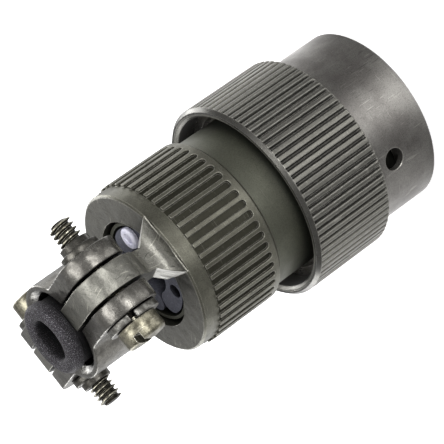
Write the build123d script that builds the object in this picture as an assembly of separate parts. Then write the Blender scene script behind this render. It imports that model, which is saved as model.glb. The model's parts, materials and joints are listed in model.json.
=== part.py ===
from build123d import *
import math
import os

# Bayonet circular connector plug with strain relief, shell size 12.
# Millimetres. The origin is the centre of the coupling ring's front rim, where the
# plug stands on its mating end. +Z runs along the connector axis to the cable end,
# +X along the clamp screws and +Y towards one of the two strain relief arms.

os.makedirs("parts", exist_ok=True)

# Clearances that tie mating pieces together
RUN_CLEARANCE = 0.05        # radial, shaft turning or sliding in its bore
PART_CLEARANCE = 0.3        # between curved faces of pieces that move apart
FACE_GAP = 0.05             # between flat faces that press on each other
SEAT_GAP = 0.02             # radial, piece pressed or bonded in its seat
LOOSE_CLEARANCE = 0.15      # radial, piece that only has to pass
OVERCUT = 1.0               # how far a cutter runs past the surface it cuts

# Radii of shell and rings, each a step from its neighbour
BARREL_R = 8.45             # barrel that enters the mating shell
BARREL_WALL = 1.05
MATING_SPACE = 1.2          # between the barrel and the ring's bore, for the mating shell
BODY_STEP = 0.6             # body outside the ring's front bore
FLANGE_HEIGHT = 0.75        # flange above the body
REAR_BORE_STEP = 0.6        # rear bore outside the spring's bore
KNURL_WALL = 0.8            # ring wall outside the retaining ring's groove
SKIRT_WALL = 2.0            # ring wall outside the front bore
THREAD_DROP = 0.75          # rear thread under the body
GROMMET_WALL = 1.75         # shell wall between the grommet and the thread's crests
NUT_WALL = 1.5              # nut wall outside the thread
NUT_RELIEF_DROP = 0.4       # nut's inner chamber under the thread
WINDOW_LIP = 1.95           # end wall inside the nut's inner chamber

# Coupling ring
RING_LENGTH = 21.3
SKIRT_LENGTH = 9.3
RIB_COUNT = 80
RIB_DEPTH = 0.4
RIB_CREST_SHARE = 0.46      # share of one rib's pitch taken by its crest
RIB_ROOT_SHARE = 0.16       # share of one rib's pitch taken by the groove floor
KNURL_FRONT_BREAK = 0.3
KNURL_REAR_BREAK = 0.45
RIM_BREAK = 0.25
REAR_BORE_BREAK = 0.3

# Bayonet grooves and detent holes in the ring
PIN_COUNT = 3
GROOVE_WIDTH = 2.6
GROOVE_DEPTH = 1.1
GROOVE_ENTRY_Z = 2.4        # groove centre where the entry slot turns into the ramp
GROOVE_TURN = 110.0         # degrees from the entry slot to the detent hole
DETENT_Z = 6.35
DETENT_R = 1.4
DETENT_ANGLE = 50.5         # of the first detent hole, from +X towards +Y

# Spring pack that holds the ring on the shell
AXIAL_PLAY = 0.1
FLANGE_THICKNESS = 2.0
WAVE_HEIGHT = 1.7
WAVE_STRIP = 0.3
WAVE_WIDTH = 0.6
WAVE_COUNT = 3
WAVE_STEPS = 8              # straight pieces in each wave
WAVE_GAP_ANGLE = 8.0
THRUST_THICKNESS = 0.8
RETAINER_THICKNESS = 1.0
RETAINER_DEPTH = 3.1        # retaining ring's rear face in front of the coupling ring's end
RETAINER_GRIP = 0.4         # how far the retaining ring reaches into its groove
RETAINER_BITE = 1.0         # how far it reaches inwards past the rear bore
RETAINER_GAP_ANGLE = 16.0

# Plug shell
BARREL_RECESS = 0.7         # barrel front behind the ring's front rim
GROMMET_SEAT_DEPTH = 6.1    # depth of the grommet's bore from the shell's rear end
THREAD_BREAK = 0.4
KEY_HEIGHT = 0.55
KEY_WIDTHS = (2.4, 1.3, 1.3, 1.3, 1.3)
KEY_ANGLES = (90.0, 195.0, 230.0, 305.0, 355.0)
KEY_START = 0.9             # key's front end behind the barrel's front
KEY_END_GAP = 1.4           # key's rear end in front of the seal
SEAL_THICKNESS = 1.1
SEAL_SEAT = 1.0             # length of shell shoulder between the seal and the flange

# Insert and contacts
CONTACT_COUNT = 3
CONTACT_FIRST_ANGLE = 30.0
INSERT_RECESS = 8.0         # insert's front face behind the barrel's front
PIN_R = 0.79
PIN_REACH = 6.4             # pin tip in front of the insert's face
CONTACT_R = 1.28
CONTACT_TAIL = 4.1          # contact tail behind the insert, inside the grommet
CRIMP_BORE_R = 0.85
CRIMP_BORE_DEPTH = 5.5
COLLAR_R = 1.85
COLLAR_LENGTH = 0.35

# Wire sealing grommet, its follower and the sealing plug
GROMMET_FLANGE_THICKNESS = 1.2
TOWER_WIDTH = 2.9           # radial width of the raised kidney round each wire hole
TOWER_SPAN = 80.0           # degrees between the centres of a kidney's round ends
TOWER_HEIGHT = 2.3
WIRE_HOLE_R = 0.9
WIRE_HOLE_EDGE = 1.25       # wire hole's centre inside the kidney's outer edge
FOLLOWER_THICKNESS = 1.3
SLEEVE_GAP = 0.5            # between the follower's sleeve and the window
SLEEVE_WALL = 0.4
SLEEVE_RISE = 1.05          # sleeve behind the follower's rear face
PLUG_HEAD_R = 1.2
PLUG_HEAD_HEIGHT = 0.65
PLUG_STEM_LENGTH = 4.5

# Back nut with its end wall
NUT_STANDOFF = 3.95         # shell body left bare between coupling ring and nut
NUT_THREAD_LENGTH = 7.75
NUT_GROOVE_COUNT = 48
NUT_GROOVE_DEPTH = 0.32
NUT_GROOVE_SHARE = 0.64     # share of one groove's pitch that is cut away
GROOVE_END_STEP = 36        # degrees in each straight piece of a groove's round end
NUT_COLLAR = 1.15           # uncut collar in front of the grooves
NUT_BAND = 2.2              # plain band behind the grooves
NUT_FRONT_ROUND = 0.45
NUT_REAR_BREAK = 0.25
NUT_RELIEF_GAP = 0.3        # between the shell's rear end and the nut's inner step
END_WALL = 1.7

# Strain relief arms
ARM_HALF_WIDTH = 1.5
ARM_LENGTH = 12.7
ARM_INNER_Y = 4.4
ARM_ROOT_INSET = 0.6        # arm's root inside the nut's crests
ARM_NECK_INSET = 0.6        # arm's neck inside its root
ARM_NECK_RISE = 3.6         # neck behind the end face
KNUCKLE_R = 3.8             # round end of arms and saddles, centred on the screw
SCREW_RISE = 8.8            # screw axis behind the end face
KNUCKLE_LEAD_ANGLE = 60.0   # where the flare runs into the knuckle, from +Y towards the nut
GUSSET_INNER_HALF = 2.7     # half width of the gusset's foot at the arm's inner face
GUSSET_OUTER_HALF = 4.1     # the same at the arm's root

# Saddle bars
SADDLE_GAP = 0.4            # between an arm's side and a saddle's ear
EAR_THICKNESS = 2.3
ARCH_GAP = 0.6              # between the bushing and a saddle's arch, with a thin cable
CROWN_THICKNESS = 1.4
CROWN_BLEND = 1.6           # hollow rounding between ear and crown
SADDLE_LIP = 0.8            # flare at both mouths of the saddle's arch

# Screws, washers and clinch nuts
SCREW_Y = 10.1
SCREW_R = 1.42
SCREW_HEAD_R = 2.55
SCREW_HEAD_HEIGHT = 2.45
SCREW_HEAD_ROUND = 0.45
SCREW_SLOT_WIDTH = 0.85
SCREW_SLOT_DEPTH = 1.15
SCREW_SLOT_ANGLE = 35.0
SCREW_LENGTH = 14.2
SCREW_TIP_BREAK = 0.35
WASHER_R = 3.3
WASHER_THICKNESS = 0.95
WASHER_SPLIT = 0.6
WASHER_SPLIT_ANGLE = 20.0   # from +Y towards +Z
WASHER_SPLIT_LEAN = 20.0    # slant of the split across the washer's thickness
CLINCH_SHANK_R = 2.0
CLINCH_SHANK_LENGTH = 1.4
CLINCH_COLLAR_R = 2.45
CLINCH_COLLAR_HEIGHT = 1.0
CLINCH_NOSE_R = 1.9
CLINCH_NOSE_HEIGHT = 0.9

# Rubber bushing
BUSHING_R = 4.3
BUSHING_BORE_R = 2.6
BUSHING_PROUD = 1.9         # bushing end behind the arms' ends
BUSHING_LENGTH = 10.2
BUSHING_ROUND = 0.6

# Radii worked out from the steps above
barrel_bore_r = BARREL_R - BARREL_WALL
ring_bore_r = BARREL_R + MATING_SPACE
skirt_r = ring_bore_r + SKIRT_WALL
groove_r = ring_bore_r + GROOVE_DEPTH
body_r = ring_bore_r + BODY_STEP
flange_r = body_r + FLANGE_HEIGHT
spring_bore_r = flange_r + PART_CLEARANCE
rear_bore_r = spring_bore_r + REAR_BORE_STEP
retainer_groove_r = rear_bore_r + RETAINER_GRIP
knurl_r = retainer_groove_r + KNURL_WALL
thread_r = body_r - THREAD_DROP
grommet_bore_r = thread_r - GROMMET_WALL
nut_crest_r = thread_r + NUT_WALL
nut_relief_r = thread_r - NUT_RELIEF_DROP
grommet_flange_r = nut_relief_r - PART_CLEARANCE
window_r = nut_relief_r - WINDOW_LIP
sleeve_r = window_r - SLEEVE_GAP
follower_bore_r = sleeve_r - SLEEVE_WALL
tower_outer_r = follower_bore_r - PART_CLEARANCE
contact_circle_r = tower_outer_r - WIRE_HOLE_EDGE
arm_root_y = nut_crest_r - ARM_ROOT_INSET
arm_neck_y = arm_root_y - ARM_NECK_INSET
arch_r = BUSHING_R + ARCH_GAP
crown_r = arch_r + CROWN_THICKNESS

# Stations along the axis, from the coupling ring's front rim
retainer_rear_z = RING_LENGTH - RETAINER_DEPTH
retainer_front_z = retainer_rear_z - RETAINER_THICKNESS
thrust_front_z = retainer_front_z - THRUST_THICKNESS
flange_rear_z = thrust_front_z - WAVE_HEIGHT
flange_front_z = flange_rear_z - FLANGE_THICKNESS
ring_shoulder_z = flange_front_z - AXIAL_PLAY
seal_rear_z = flange_front_z - SEAL_SEAT
seal_front_z = seal_rear_z - SEAL_THICKNESS
barrel_front_z = BARREL_RECESS
insert_front_z = barrel_front_z + INSERT_RECESS
nut_front_z = RING_LENGTH + NUT_STANDOFF
shell_rear_z = nut_front_z + NUT_THREAD_LENGTH
grommet_seat_z = shell_rear_z - GROMMET_SEAT_DEPTH
grommet_flange_z = shell_rear_z + GROMMET_FLANGE_THICKNESS
tower_top_z = grommet_flange_z + TOWER_HEIGHT
follower_front_z = grommet_flange_z + FACE_GAP
follower_rear_z = follower_front_z + FOLLOWER_THICKNESS
end_wall_z = follower_rear_z + FACE_GAP
end_face_z = end_wall_z + END_WALL
screw_z = end_face_z + SCREW_RISE
arm_end_z = end_face_z + ARM_LENGTH
bushing_end_z = arm_end_z + BUSHING_PROUD
bushing_front_z = bushing_end_z - BUSHING_LENGTH

# Stations along the screws, from the connector axis
ear_inner_x = ARM_HALF_WIDTH + SADDLE_GAP
ear_outer_x = ear_inner_x + EAR_THICKNESS
washer_outer_x = ear_outer_x + FACE_GAP + WASHER_THICKNESS
head_inner_x = washer_outer_x + FACE_GAP


def turned(points):
    """Revolve a closed outline of (radius, z) points about the connector axis."""
    outline = Plane.XZ * make_face(Polyline(*points, close=True))
    return revolve(outline, Axis.Z)


def tube(outer_r, inner_r, z_low, z_high):
    """Plain ring about the connector axis between two heights."""
    return turned([(inner_r, z_low), (outer_r, z_low), (outer_r, z_high), (inner_r, z_high)])


def bar(radius, z_low, z_high):
    """Solid cylinder about the connector axis between two heights."""
    return Pos(0, 0, (z_low + z_high) / 2) * Cylinder(radius, z_high - z_low)


def along_screw(shape):
    """Turn a shape made about +Z so that it lies about +X at the +Y screw's place."""
    return Pos(0, SCREW_Y, screw_z) * Rot(0, 90, 0) * shape


def contact_angles():
    """Angles of the contacts round the connector axis, in degrees."""
    return [CONTACT_FIRST_ANGLE + k * 360.0 / CONTACT_COUNT for k in range(CONTACT_COUNT)]


def contact_places():
    """Centres of the contacts, as (x, y) pairs."""
    angles = [math.radians(a) for a in contact_angles()]
    return [(contact_circle_r * math.cos(a), contact_circle_r * math.sin(a)) for a in angles]


def rib_section(crest_r, root_r, z):
    """Cross-section of the knurl at one height: straight ribs with flat crests."""
    pitch = 360.0 / RIB_COUNT
    stops = (
        (crest_r, -RIB_CREST_SHARE / 2),
        (crest_r, RIB_CREST_SHARE / 2),
        (root_r, 0.5 - RIB_ROOT_SHARE / 2),
        (root_r, 0.5 + RIB_ROOT_SHARE / 2),
    )
    corners = []
    for rib in range(RIB_COUNT):
        for radius, share in stops:
            angle = math.radians((rib + share) * pitch)
            corners.append((radius * math.cos(angle), radius * math.sin(angle), z))
    return make_face(Polyline(*corners, close=True))


def ribbed_band():
    """Knurled band of the coupling ring, with its ribs sloped off at both ends."""
    root_r = knurl_r - RIB_DEPTH
    front_r = knurl_r - KNURL_FRONT_BREAK
    rear_r = knurl_r - KNURL_REAR_BREAK
    front_z = SKIRT_LENGTH + KNURL_FRONT_BREAK
    rear_z = RING_LENGTH - KNURL_REAR_BREAK
    lead = loft([rib_section(front_r, root_r, SKIRT_LENGTH), rib_section(knurl_r, root_r, front_z)], ruled=True)
    middle = extrude(rib_section(knurl_r, root_r, front_z), rear_z - front_z)
    tail = loft([rib_section(knurl_r, root_r, rear_z),
                 rib_section(rear_r, min(root_r, rear_r), RING_LENGTH)], ruled=True)
    return lead + middle + tail


def bayonet_groove():
    """One entry slot and helical ramp that ends at a detent, cut into the ring's bore."""
    depth = groove_r - ring_bore_r + OVERCUT
    middle_r = groove_r - depth / 2
    rise = DETENT_Z - GROOVE_ENTRY_Z
    path = Helix(pitch=rise * 360.0 / GROOVE_TURN, height=rise, radius=middle_r)
    start = Plane(path @ 0, x_dir=(1, 0, 0), z_dir=path % 0)
    ramp = sweep(start * Rectangle(depth, GROOVE_WIDTH), path, is_frenet=True)
    entry_height = GROOVE_ENTRY_Z + OVERCUT
    entry = Pos(middle_r, 0, entry_height / 2 - OVERCUT) * Box(depth, GROOVE_WIDTH, entry_height)
    corner = Pos(middle_r, 0, GROOVE_ENTRY_Z) * Rot(0, 90, 0) * Cylinder(GROOVE_WIDTH / 2, depth)
    ending = Pos(middle_r, 0, DETENT_Z) * Rot(0, 90, 0) * Cylinder(GROOVE_WIDTH / 2, depth)
    ending = Rot(0, 0, GROOVE_TURN) * ending
    return [Pos(0, 0, GROOVE_ENTRY_Z) * ramp, entry, corner, ending]


def coupling_ring():
    """Bayonet coupling ring: bare skirt, ribbed band, spring bore and detent holes."""
    skirt = turned([
        (0, 0), (skirt_r - RIM_BREAK, 0), (skirt_r, RIM_BREAK),
        (skirt_r, SKIRT_LENGTH + RIB_DEPTH), (0, SKIRT_LENGTH + RIB_DEPTH),
    ])
    bore = turned([
        (0, -OVERCUT), (ring_bore_r + RIM_BREAK + OVERCUT, -OVERCUT), (ring_bore_r, RIM_BREAK),
        (ring_bore_r, ring_shoulder_z), (spring_bore_r, ring_shoulder_z),
        (spring_bore_r, retainer_front_z), (retainer_groove_r, retainer_front_z),
        (retainer_groove_r, retainer_rear_z), (rear_bore_r, retainer_rear_z),
        (rear_bore_r, RING_LENGTH - REAR_BORE_BREAK),
        (rear_bore_r + REAR_BORE_BREAK + OVERCUT, RING_LENGTH + OVERCUT), (0, RING_LENGTH + OVERCUT),
    ])
    ring = skirt + ribbed_band() - bore
    cutters = []
    for k in range(PIN_COUNT):
        detent_angle = DETENT_ANGLE + k * 360.0 / PIN_COUNT
        groove_turn = Rot(0, 0, detent_angle - GROOVE_TURN)
        cutters += [groove_turn * piece for piece in bayonet_groove()]
        hole = Pos(skirt_r, 0, DETENT_Z) * Rot(0, 90, 0) * Cylinder(DETENT_R, 2 * SKIRT_WALL)
        cutters.append(Rot(0, 0, detent_angle) * hole)
    return ring - cutters


def split_ring(ring, reach, gap_angle, middle_angle):
    """Cut a wedge-shaped gap out of a ring about the connector axis."""
    half = math.radians(gap_angle / 2)
    far = reach * 1.5
    wedge = make_face(Polyline(
        (0, 0), (far * math.cos(half), -far * math.sin(half)),
        (far * math.cos(half), far * math.sin(half)), close=True))
    return ring - Rot(0, 0, middle_angle) * extrude(wedge, RING_LENGTH)


def retaining_ring():
    """Internal snap ring in the coupling ring's groove."""
    outer_r = retainer_groove_r - SEAT_GAP
    ring = tube(outer_r, rear_bore_r - RETAINER_BITE, retainer_front_z + SEAT_GAP, retainer_rear_z - SEAT_GAP)
    return split_ring(ring, outer_r, RETAINER_GAP_ANGLE, 120.0)


def thrust_washer():
    """Flat washer between the wave washer and the retaining ring."""
    outer_r = spring_bore_r - RUN_CLEARANCE
    return tube(outer_r, body_r + RUN_CLEARANCE, thrust_front_z, retainer_front_z - SEAT_GAP)


def wave_washer():
    """Open wave spring: flat strip that rises and falls round the shell."""
    middle_r = (body_r + spring_bore_r) / 2
    swing = (WAVE_HEIGHT - WAVE_STRIP) / 2 - FACE_GAP
    middle_z = flange_rear_z + WAVE_HEIGHT / 2
    steps = WAVE_STEPS * WAVE_COUNT
    span = 360.0 - WAVE_GAP_ANGLE
    sections = []
    for k in range(steps + 1):
        angle = math.radians(WAVE_GAP_ANGLE / 2 + span * k / steps)
        height = middle_z + swing * math.cos(WAVE_COUNT * angle)
        centre = (middle_r * math.cos(angle), middle_r * math.sin(angle), height)
        plane = Plane(centre, x_dir=(math.cos(angle), math.sin(angle), 0),
                      z_dir=(-math.sin(angle), math.cos(angle), 0))
        sections.append(plane * Rectangle(WAVE_WIDTH, WAVE_STRIP))
    return loft(sections, ruled=True)


def shell():
    """Plug shell: keyed front barrel, flange, smooth body and rear thread."""
    shoulder_r = ring_bore_r - LOOSE_CLEARANCE
    body_rear_z = nut_front_z - FACE_GAP
    body = turned([
        (barrel_bore_r, barrel_front_z), (BARREL_R - RIM_BREAK, barrel_front_z),
        (BARREL_R, barrel_front_z + RIM_BREAK), (BARREL_R, seal_rear_z), (shoulder_r, seal_rear_z),
        (shoulder_r, flange_front_z), (flange_r, flange_front_z), (flange_r, flange_rear_z),
        (body_r, flange_rear_z), (body_r, body_rear_z), (thread_r, body_rear_z),
        (thread_r, shell_rear_z - THREAD_BREAK), (thread_r - THREAD_BREAK, shell_rear_z),
        (grommet_bore_r, shell_rear_z), (grommet_bore_r, grommet_seat_z),
        (barrel_bore_r, grommet_seat_z),
    ])
    key_front_z = barrel_front_z + KEY_START
    key_length = seal_front_z - KEY_END_GAP - key_front_z
    key_root_r = (barrel_bore_r + BARREL_R) / 2
    keys = []
    for width, angle in zip(KEY_WIDTHS, KEY_ANGLES):
        height = BARREL_R + KEY_HEIGHT - key_root_r
        key = Pos(key_root_r + height / 2, 0, key_front_z + key_length / 2) * Box(height, width, key_length)
        keys.append(Rot(0, 0, angle) * key)
    return body + keys


def peripheral_seal():
    """Rubber ring round the barrel that the mating shell's end presses on."""
    inner_r = BARREL_R + SEAT_GAP
    outer_r = ring_bore_r - LOOSE_CLEARANCE
    break_r = (outer_r - inner_r) / 3
    return turned([
        (inner_r, seal_front_z), (outer_r - break_r, seal_front_z), (outer_r, seal_front_z + break_r),
        (outer_r, seal_rear_z - SEAT_GAP), (inner_r, seal_rear_z - SEAT_GAP),
    ])


def insert():
    """Hard insulator that carries the contacts, with a raised collar round each pin."""
    block = bar(barrel_bore_r - SEAT_GAP, insert_front_z, grommet_seat_z)
    for x, y in contact_places():
        block += Pos(x, y, 0) * bar(COLLAR_R, insert_front_z - COLLAR_LENGTH, insert_front_z + COLLAR_LENGTH)
    holes = [Pos(x, y, 0) * bar(CONTACT_R + SEAT_GAP, insert_front_z - OVERCUT, grommet_seat_z + OVERCUT)
             for x, y in contact_places()]
    return block - holes


def contact(place):
    """Pin contact: rounded pin, body in the insert and crimp barrel in the grommet."""
    tail_z = grommet_seat_z + CONTACT_TAIL
    tip_z = insert_front_z - PIN_REACH
    pin = turned([
        (0, tip_z), (PIN_R * 0.5, tip_z), (PIN_R, tip_z + PIN_R), (PIN_R, insert_front_z),
        (CONTACT_R, insert_front_z), (CONTACT_R, tail_z), (CRIMP_BORE_R, tail_z),
        (CRIMP_BORE_R, tail_z - CRIMP_BORE_DEPTH), (0, tail_z - CRIMP_BORE_DEPTH),
    ])
    return Pos(place[0], place[1], 0) * pin


def grommet():
    """Rubber wire seal with a raised kidney round each wire hole."""
    body = turned([
        (0, grommet_seat_z), (grommet_bore_r - SEAT_GAP, grommet_seat_z),
        (grommet_bore_r - SEAT_GAP, shell_rear_z), (grommet_flange_r, shell_rear_z),
        (grommet_flange_r, grommet_flange_z), (0, grommet_flange_z),
    ])
    middle_r = tower_outer_r - TOWER_WIDTH / 2
    kidneys = []
    for angle in contact_angles():
        spine = CenterArc((0, 0), middle_r, angle - TOWER_SPAN / 2, TOWER_SPAN)
        foot = Plane.XY.offset(grommet_flange_z) * SlotArc(spine, TOWER_WIDTH)
        kidneys.append(extrude(foot, TOWER_HEIGHT))
    tail_z = grommet_seat_z + CONTACT_TAIL
    hole = bar(WIRE_HOLE_R, tail_z - OVERCUT, tower_top_z + OVERCUT) \
        + bar(CONTACT_R + SEAT_GAP, grommet_seat_z - OVERCUT, tail_z)
    holes = [Pos(x, y, 0) * hole for x, y in contact_places()]
    return body + kidneys - holes


def sealing_plug():
    """White plug that closes one unused wire hole, with a domed head."""
    x, y = contact_places()[1]
    stem = bar(WIRE_HOLE_R - SEAT_GAP, tower_top_z - PLUG_STEM_LENGTH, tower_top_z)
    dome_r = (PLUG_HEAD_R ** 2 + PLUG_HEAD_HEIGHT ** 2) / (2 * PLUG_HEAD_HEIGHT)
    rim = (PLUG_HEAD_R, tower_top_z)
    crown = (0, tower_top_z + PLUG_HEAD_HEIGHT)
    half_angle = math.asin(PLUG_HEAD_R / dome_r) / 2
    middle = (dome_r * math.sin(half_angle), crown[1] - dome_r * (1 - math.cos(half_angle)))
    outline = ThreePointArc(rim, middle, crown) + Polyline(crown, (0, tower_top_z), rim)
    head = revolve(Plane.XZ * make_face(outline), Axis.Z)
    return Pos(x, y, 0) * (stem + head)


def grommet_follower():
    """Hard ring behind the grommet's flange, with a sleeve seen through the window."""
    outer_r = nut_relief_r - LOOSE_CLEARANCE
    sleeve_end_z = follower_rear_z + SLEEVE_RISE
    return turned([
        (follower_bore_r, follower_front_z), (outer_r, follower_front_z), (outer_r, follower_rear_z),
        (sleeve_r, follower_rear_z), (sleeve_r, sleeve_end_z), (follower_bore_r, sleeve_end_z),
    ])


def arm_profile():
    """Side outline of one arm in the plane of the axis and the arms, as a face."""
    knuckle_top = SCREW_Y + KNUCKLE_R
    neck_z = end_face_z + ARM_NECK_RISE
    lead = math.radians(KNUCKLE_LEAD_ANGLE)
    lead_y = SCREW_Y + KNUCKLE_R * math.cos(lead)
    lead_z = screw_z - KNUCKLE_R * math.sin(lead)
    root_z = end_wall_z + END_WALL / 2
    root = Polyline((ARM_INNER_Y, end_face_z), (window_r, end_face_z), (window_r, root_z),
                    (arm_root_y, root_z), (arm_root_y, end_face_z))
    flare = Spline((arm_root_y, end_face_z), (arm_neck_y, neck_z), (lead_y, lead_z),
                   tangents=((-1, 0.35), (0.6, 1)))
    top = ThreePointArc((lead_y, lead_z), (knuckle_top, screw_z), (SCREW_Y, arm_end_z))
    end = Polyline((SCREW_Y, arm_end_z), (ARM_INNER_Y, arm_end_z), (ARM_INNER_Y, end_face_z))
    return make_face(root + flare + top + end)


def gusset_section(y):
    """Cross-section of the spread foot under an arm: sides at 45 degrees, wider outwards."""
    spread = (GUSSET_OUTER_HALF - GUSSET_INNER_HALF) / (arm_root_y - ARM_INNER_Y)
    half = GUSSET_INNER_HALF + spread * (y - ARM_INNER_Y)
    rise = half - ARM_HALF_WIDTH
    corners = [(-half, y, end_face_z), (half, y, end_face_z),
               (ARM_HALF_WIDTH, y, end_face_z + rise), (-ARM_HALF_WIDTH, y, end_face_z + rise)]
    return make_face(Polyline(*corners, close=True))


def arm():
    """Arm on the +Y side with its spread foot, milled from the turned flare."""
    knuckle_top = SCREW_Y + KNUCKLE_R
    side = Plane((0, 0, 0), x_dir=(0, 1, 0), z_dir=(1, 0, 0)) * arm_profile()
    reach = 2 * GUSSET_OUTER_HALF
    profile = extrude(side, reach, both=True)
    web_height = arm_end_z - end_wall_z
    web = Pos(0, knuckle_top / 2, end_wall_z + web_height / 2) \
        * Box(2 * ARM_HALF_WIDTH, knuckle_top, web_height)
    foot = loft([gusset_section(ARM_INNER_Y), gusset_section(knuckle_top)], ruled=True)
    base = Pos(0, knuckle_top / 2, end_face_z - END_WALL / 4) \
        * Box(2 * GUSSET_OUTER_HALF, knuckle_top, END_WALL / 2)
    turned_limit = bar(knuckle_top, end_face_z, arm_end_z) + bar(arm_root_y, end_wall_z, end_face_z)
    hole = along_screw(Cylinder(SCREW_R + PART_CLEARANCE, 2 * reach))
    return ((web + foot + base) & profile & turned_limit) - hole


def groove_cutter(root_r, start_z, end_z):
    """Cutter for one groove of the back nut, round at its front end and open at its rear."""
    width = NUT_GROOVE_SHARE * 2 * math.pi * nut_crest_r / NUT_GROOVE_COUNT
    half = width / 2
    rim = [(half * math.cos(math.radians(a)), start_z + half - half * math.sin(math.radians(a)))
           for a in range(0, 181, GROOVE_END_STEP)]
    outline = make_face(Polyline((half, end_z), *rim, (-half, end_z), close=True))
    return extrude(Plane((root_r, 0, 0), x_dir=(0, 1, 0), z_dir=(1, 0, 0)) * outline, 2 * NUT_GROOVE_DEPTH)


def back_nut():
    """Back nut: grooved body, end wall with its window bore, and the two arms."""
    root_r = nut_crest_r - NUT_GROOVE_DEPTH
    groove_end_z = end_face_z - NUT_BAND
    relief_z = shell_rear_z + NUT_RELIEF_GAP
    nut = turned([
        (thread_r + RUN_CLEARANCE, nut_front_z), (nut_crest_r - NUT_FRONT_ROUND, nut_front_z),
        (nut_crest_r, nut_front_z + NUT_FRONT_ROUND), (nut_crest_r, groove_end_z),
        (root_r, groove_end_z), (root_r, end_face_z - NUT_REAR_BREAK),
        (root_r - NUT_REAR_BREAK, end_face_z), (window_r, end_face_z), (window_r, end_wall_z),
        (nut_relief_r, end_wall_z), (nut_relief_r, relief_z), (thread_r + RUN_CLEARANCE, relief_z),
    ])
    cutter = groove_cutter(root_r, nut_front_z + NUT_COLLAR, groove_end_z + OVERCUT)
    cutters = [Rot(0, 0, k * 360.0 / NUT_GROOVE_COUNT) * cutter for k in range(NUT_GROOVE_COUNT)]
    nut = nut - cutters
    upper = arm()
    return nut + upper + Rot(0, 0, 180) * upper


def crown_outline():
    """Cross-section of one saddle: ears, hollow blends, crown and arch, as a face."""
    ear_end_y = SCREW_Y + KNUCKLE_R
    arch_y = math.sqrt(arch_r ** 2 - ear_inner_x ** 2)
    blend_x = ear_outer_x + CROWN_BLEND
    blend_y = math.sqrt((crown_r + CROWN_BLEND) ** 2 - blend_x ** 2)
    meet = crown_r / (crown_r + CROWN_BLEND)
    turn = math.pi + math.atan2(blend_y, blend_x) / 2
    outer = []
    for side in (1, -1):
        start = (ear_outer_x, side * blend_y)
        middle = (blend_x + CROWN_BLEND * math.cos(turn), side * (blend_y + CROWN_BLEND * math.sin(turn)))
        end = (blend_x * meet, side * blend_y * meet)
        outer.append((start, middle, end))
    upper, lower = outer
    outline = Polyline((ear_inner_x, arch_y), (ear_inner_x, ear_end_y), (ear_outer_x, ear_end_y), upper[0])
    outline += ThreePointArc(*upper)
    outline += ThreePointArc(upper[2], (crown_r, 0), lower[2])
    outline += ThreePointArc(*reversed(lower))
    outline += Polyline(lower[0], (ear_outer_x, -ear_end_y), (ear_inner_x, -ear_end_y), (ear_inner_x, -arch_y))
    outline += ThreePointArc((ear_inner_x, -arch_y), (arch_r, 0), (ear_inner_x, arch_y))
    return make_face(outline)


def saddle():
    """Saddle bar on the +X side: two rounded ears and a flared arch over the bushing."""
    ear_end_y = SCREW_Y + KNUCKLE_R
    low_z = screw_z - KNUCKLE_R
    high_z = screw_z + KNUCKLE_R
    block = extrude(Plane.XY.offset(low_z) * crown_outline(), high_z - low_z)
    side_view = Plane((0, 0, screw_z), x_dir=(0, 1, 0), z_dir=(1, 0, 0))
    ears = extrude(side_view * SlotOverall(2 * ear_end_y, 2 * KNUCKLE_R), crown_r + OVERCUT)
    flare_r = arch_r + SADDLE_LIP
    flare = turned([(0, low_z), (flare_r, low_z), (0, low_z + flare_r)]) \
        + turned([(0, high_z), (flare_r, high_z), (0, high_z - flare_r)])
    screw_hole = along_screw(Cylinder(SCREW_R + LOOSE_CLEARANCE, 4 * ear_outer_x))
    nut_hole = Rot(0, 0, 180) * along_screw(Cylinder(CLINCH_SHANK_R, 4 * ear_outer_x))
    return (block & ears) - flare - screw_hole - nut_hole


def clamp_screw():
    """Slotted fillister head screw on the +Y side with its head at +X."""
    head_outer_x = head_inner_x + SCREW_HEAD_HEIGHT
    tip_x = head_inner_x - SCREW_LENGTH
    outline = [
        (0, tip_x), (SCREW_R - SCREW_TIP_BREAK, tip_x), (SCREW_R, tip_x + SCREW_TIP_BREAK),
        (SCREW_R, head_inner_x), (SCREW_HEAD_R, head_inner_x),
        (SCREW_HEAD_R, head_outer_x - SCREW_HEAD_ROUND),
        (SCREW_HEAD_R - SCREW_HEAD_ROUND, head_outer_x), (0, head_outer_x),
    ]
    slot = Pos(0, 0, head_outer_x) * Box(3 * SCREW_HEAD_R, SCREW_SLOT_WIDTH, 2 * SCREW_SLOT_DEPTH)
    return along_screw(turned(outline) - Rot(0, 0, SCREW_SLOT_ANGLE) * slot)


def lock_washer():
    """Split lock washer under the screw head on the +Y side."""
    ring = tube(WASHER_R, SCREW_R + LOOSE_CLEARANCE, ear_outer_x + FACE_GAP, washer_outer_x)
    split = Pos(WASHER_R / 2 + SCREW_R / 2, 0, washer_outer_x) * Rot(WASHER_SPLIT_LEAN, 0, 0) \
        * Box(2 * WASHER_R, WASHER_SPLIT, 4 * WASHER_THICKNESS)
    split = split & bar(2 * WASHER_R, 0, 2 * washer_outer_x)
    keep = Pos(WASHER_R, 0, washer_outer_x) * Box(2 * WASHER_R, WASHER_R, 6 * WASHER_THICKNESS)
    split_turn = 180.0 - (90.0 - WASHER_SPLIT_ANGLE)
    return along_screw(ring - Rot(0, 0, split_turn) * (split & keep))


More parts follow.
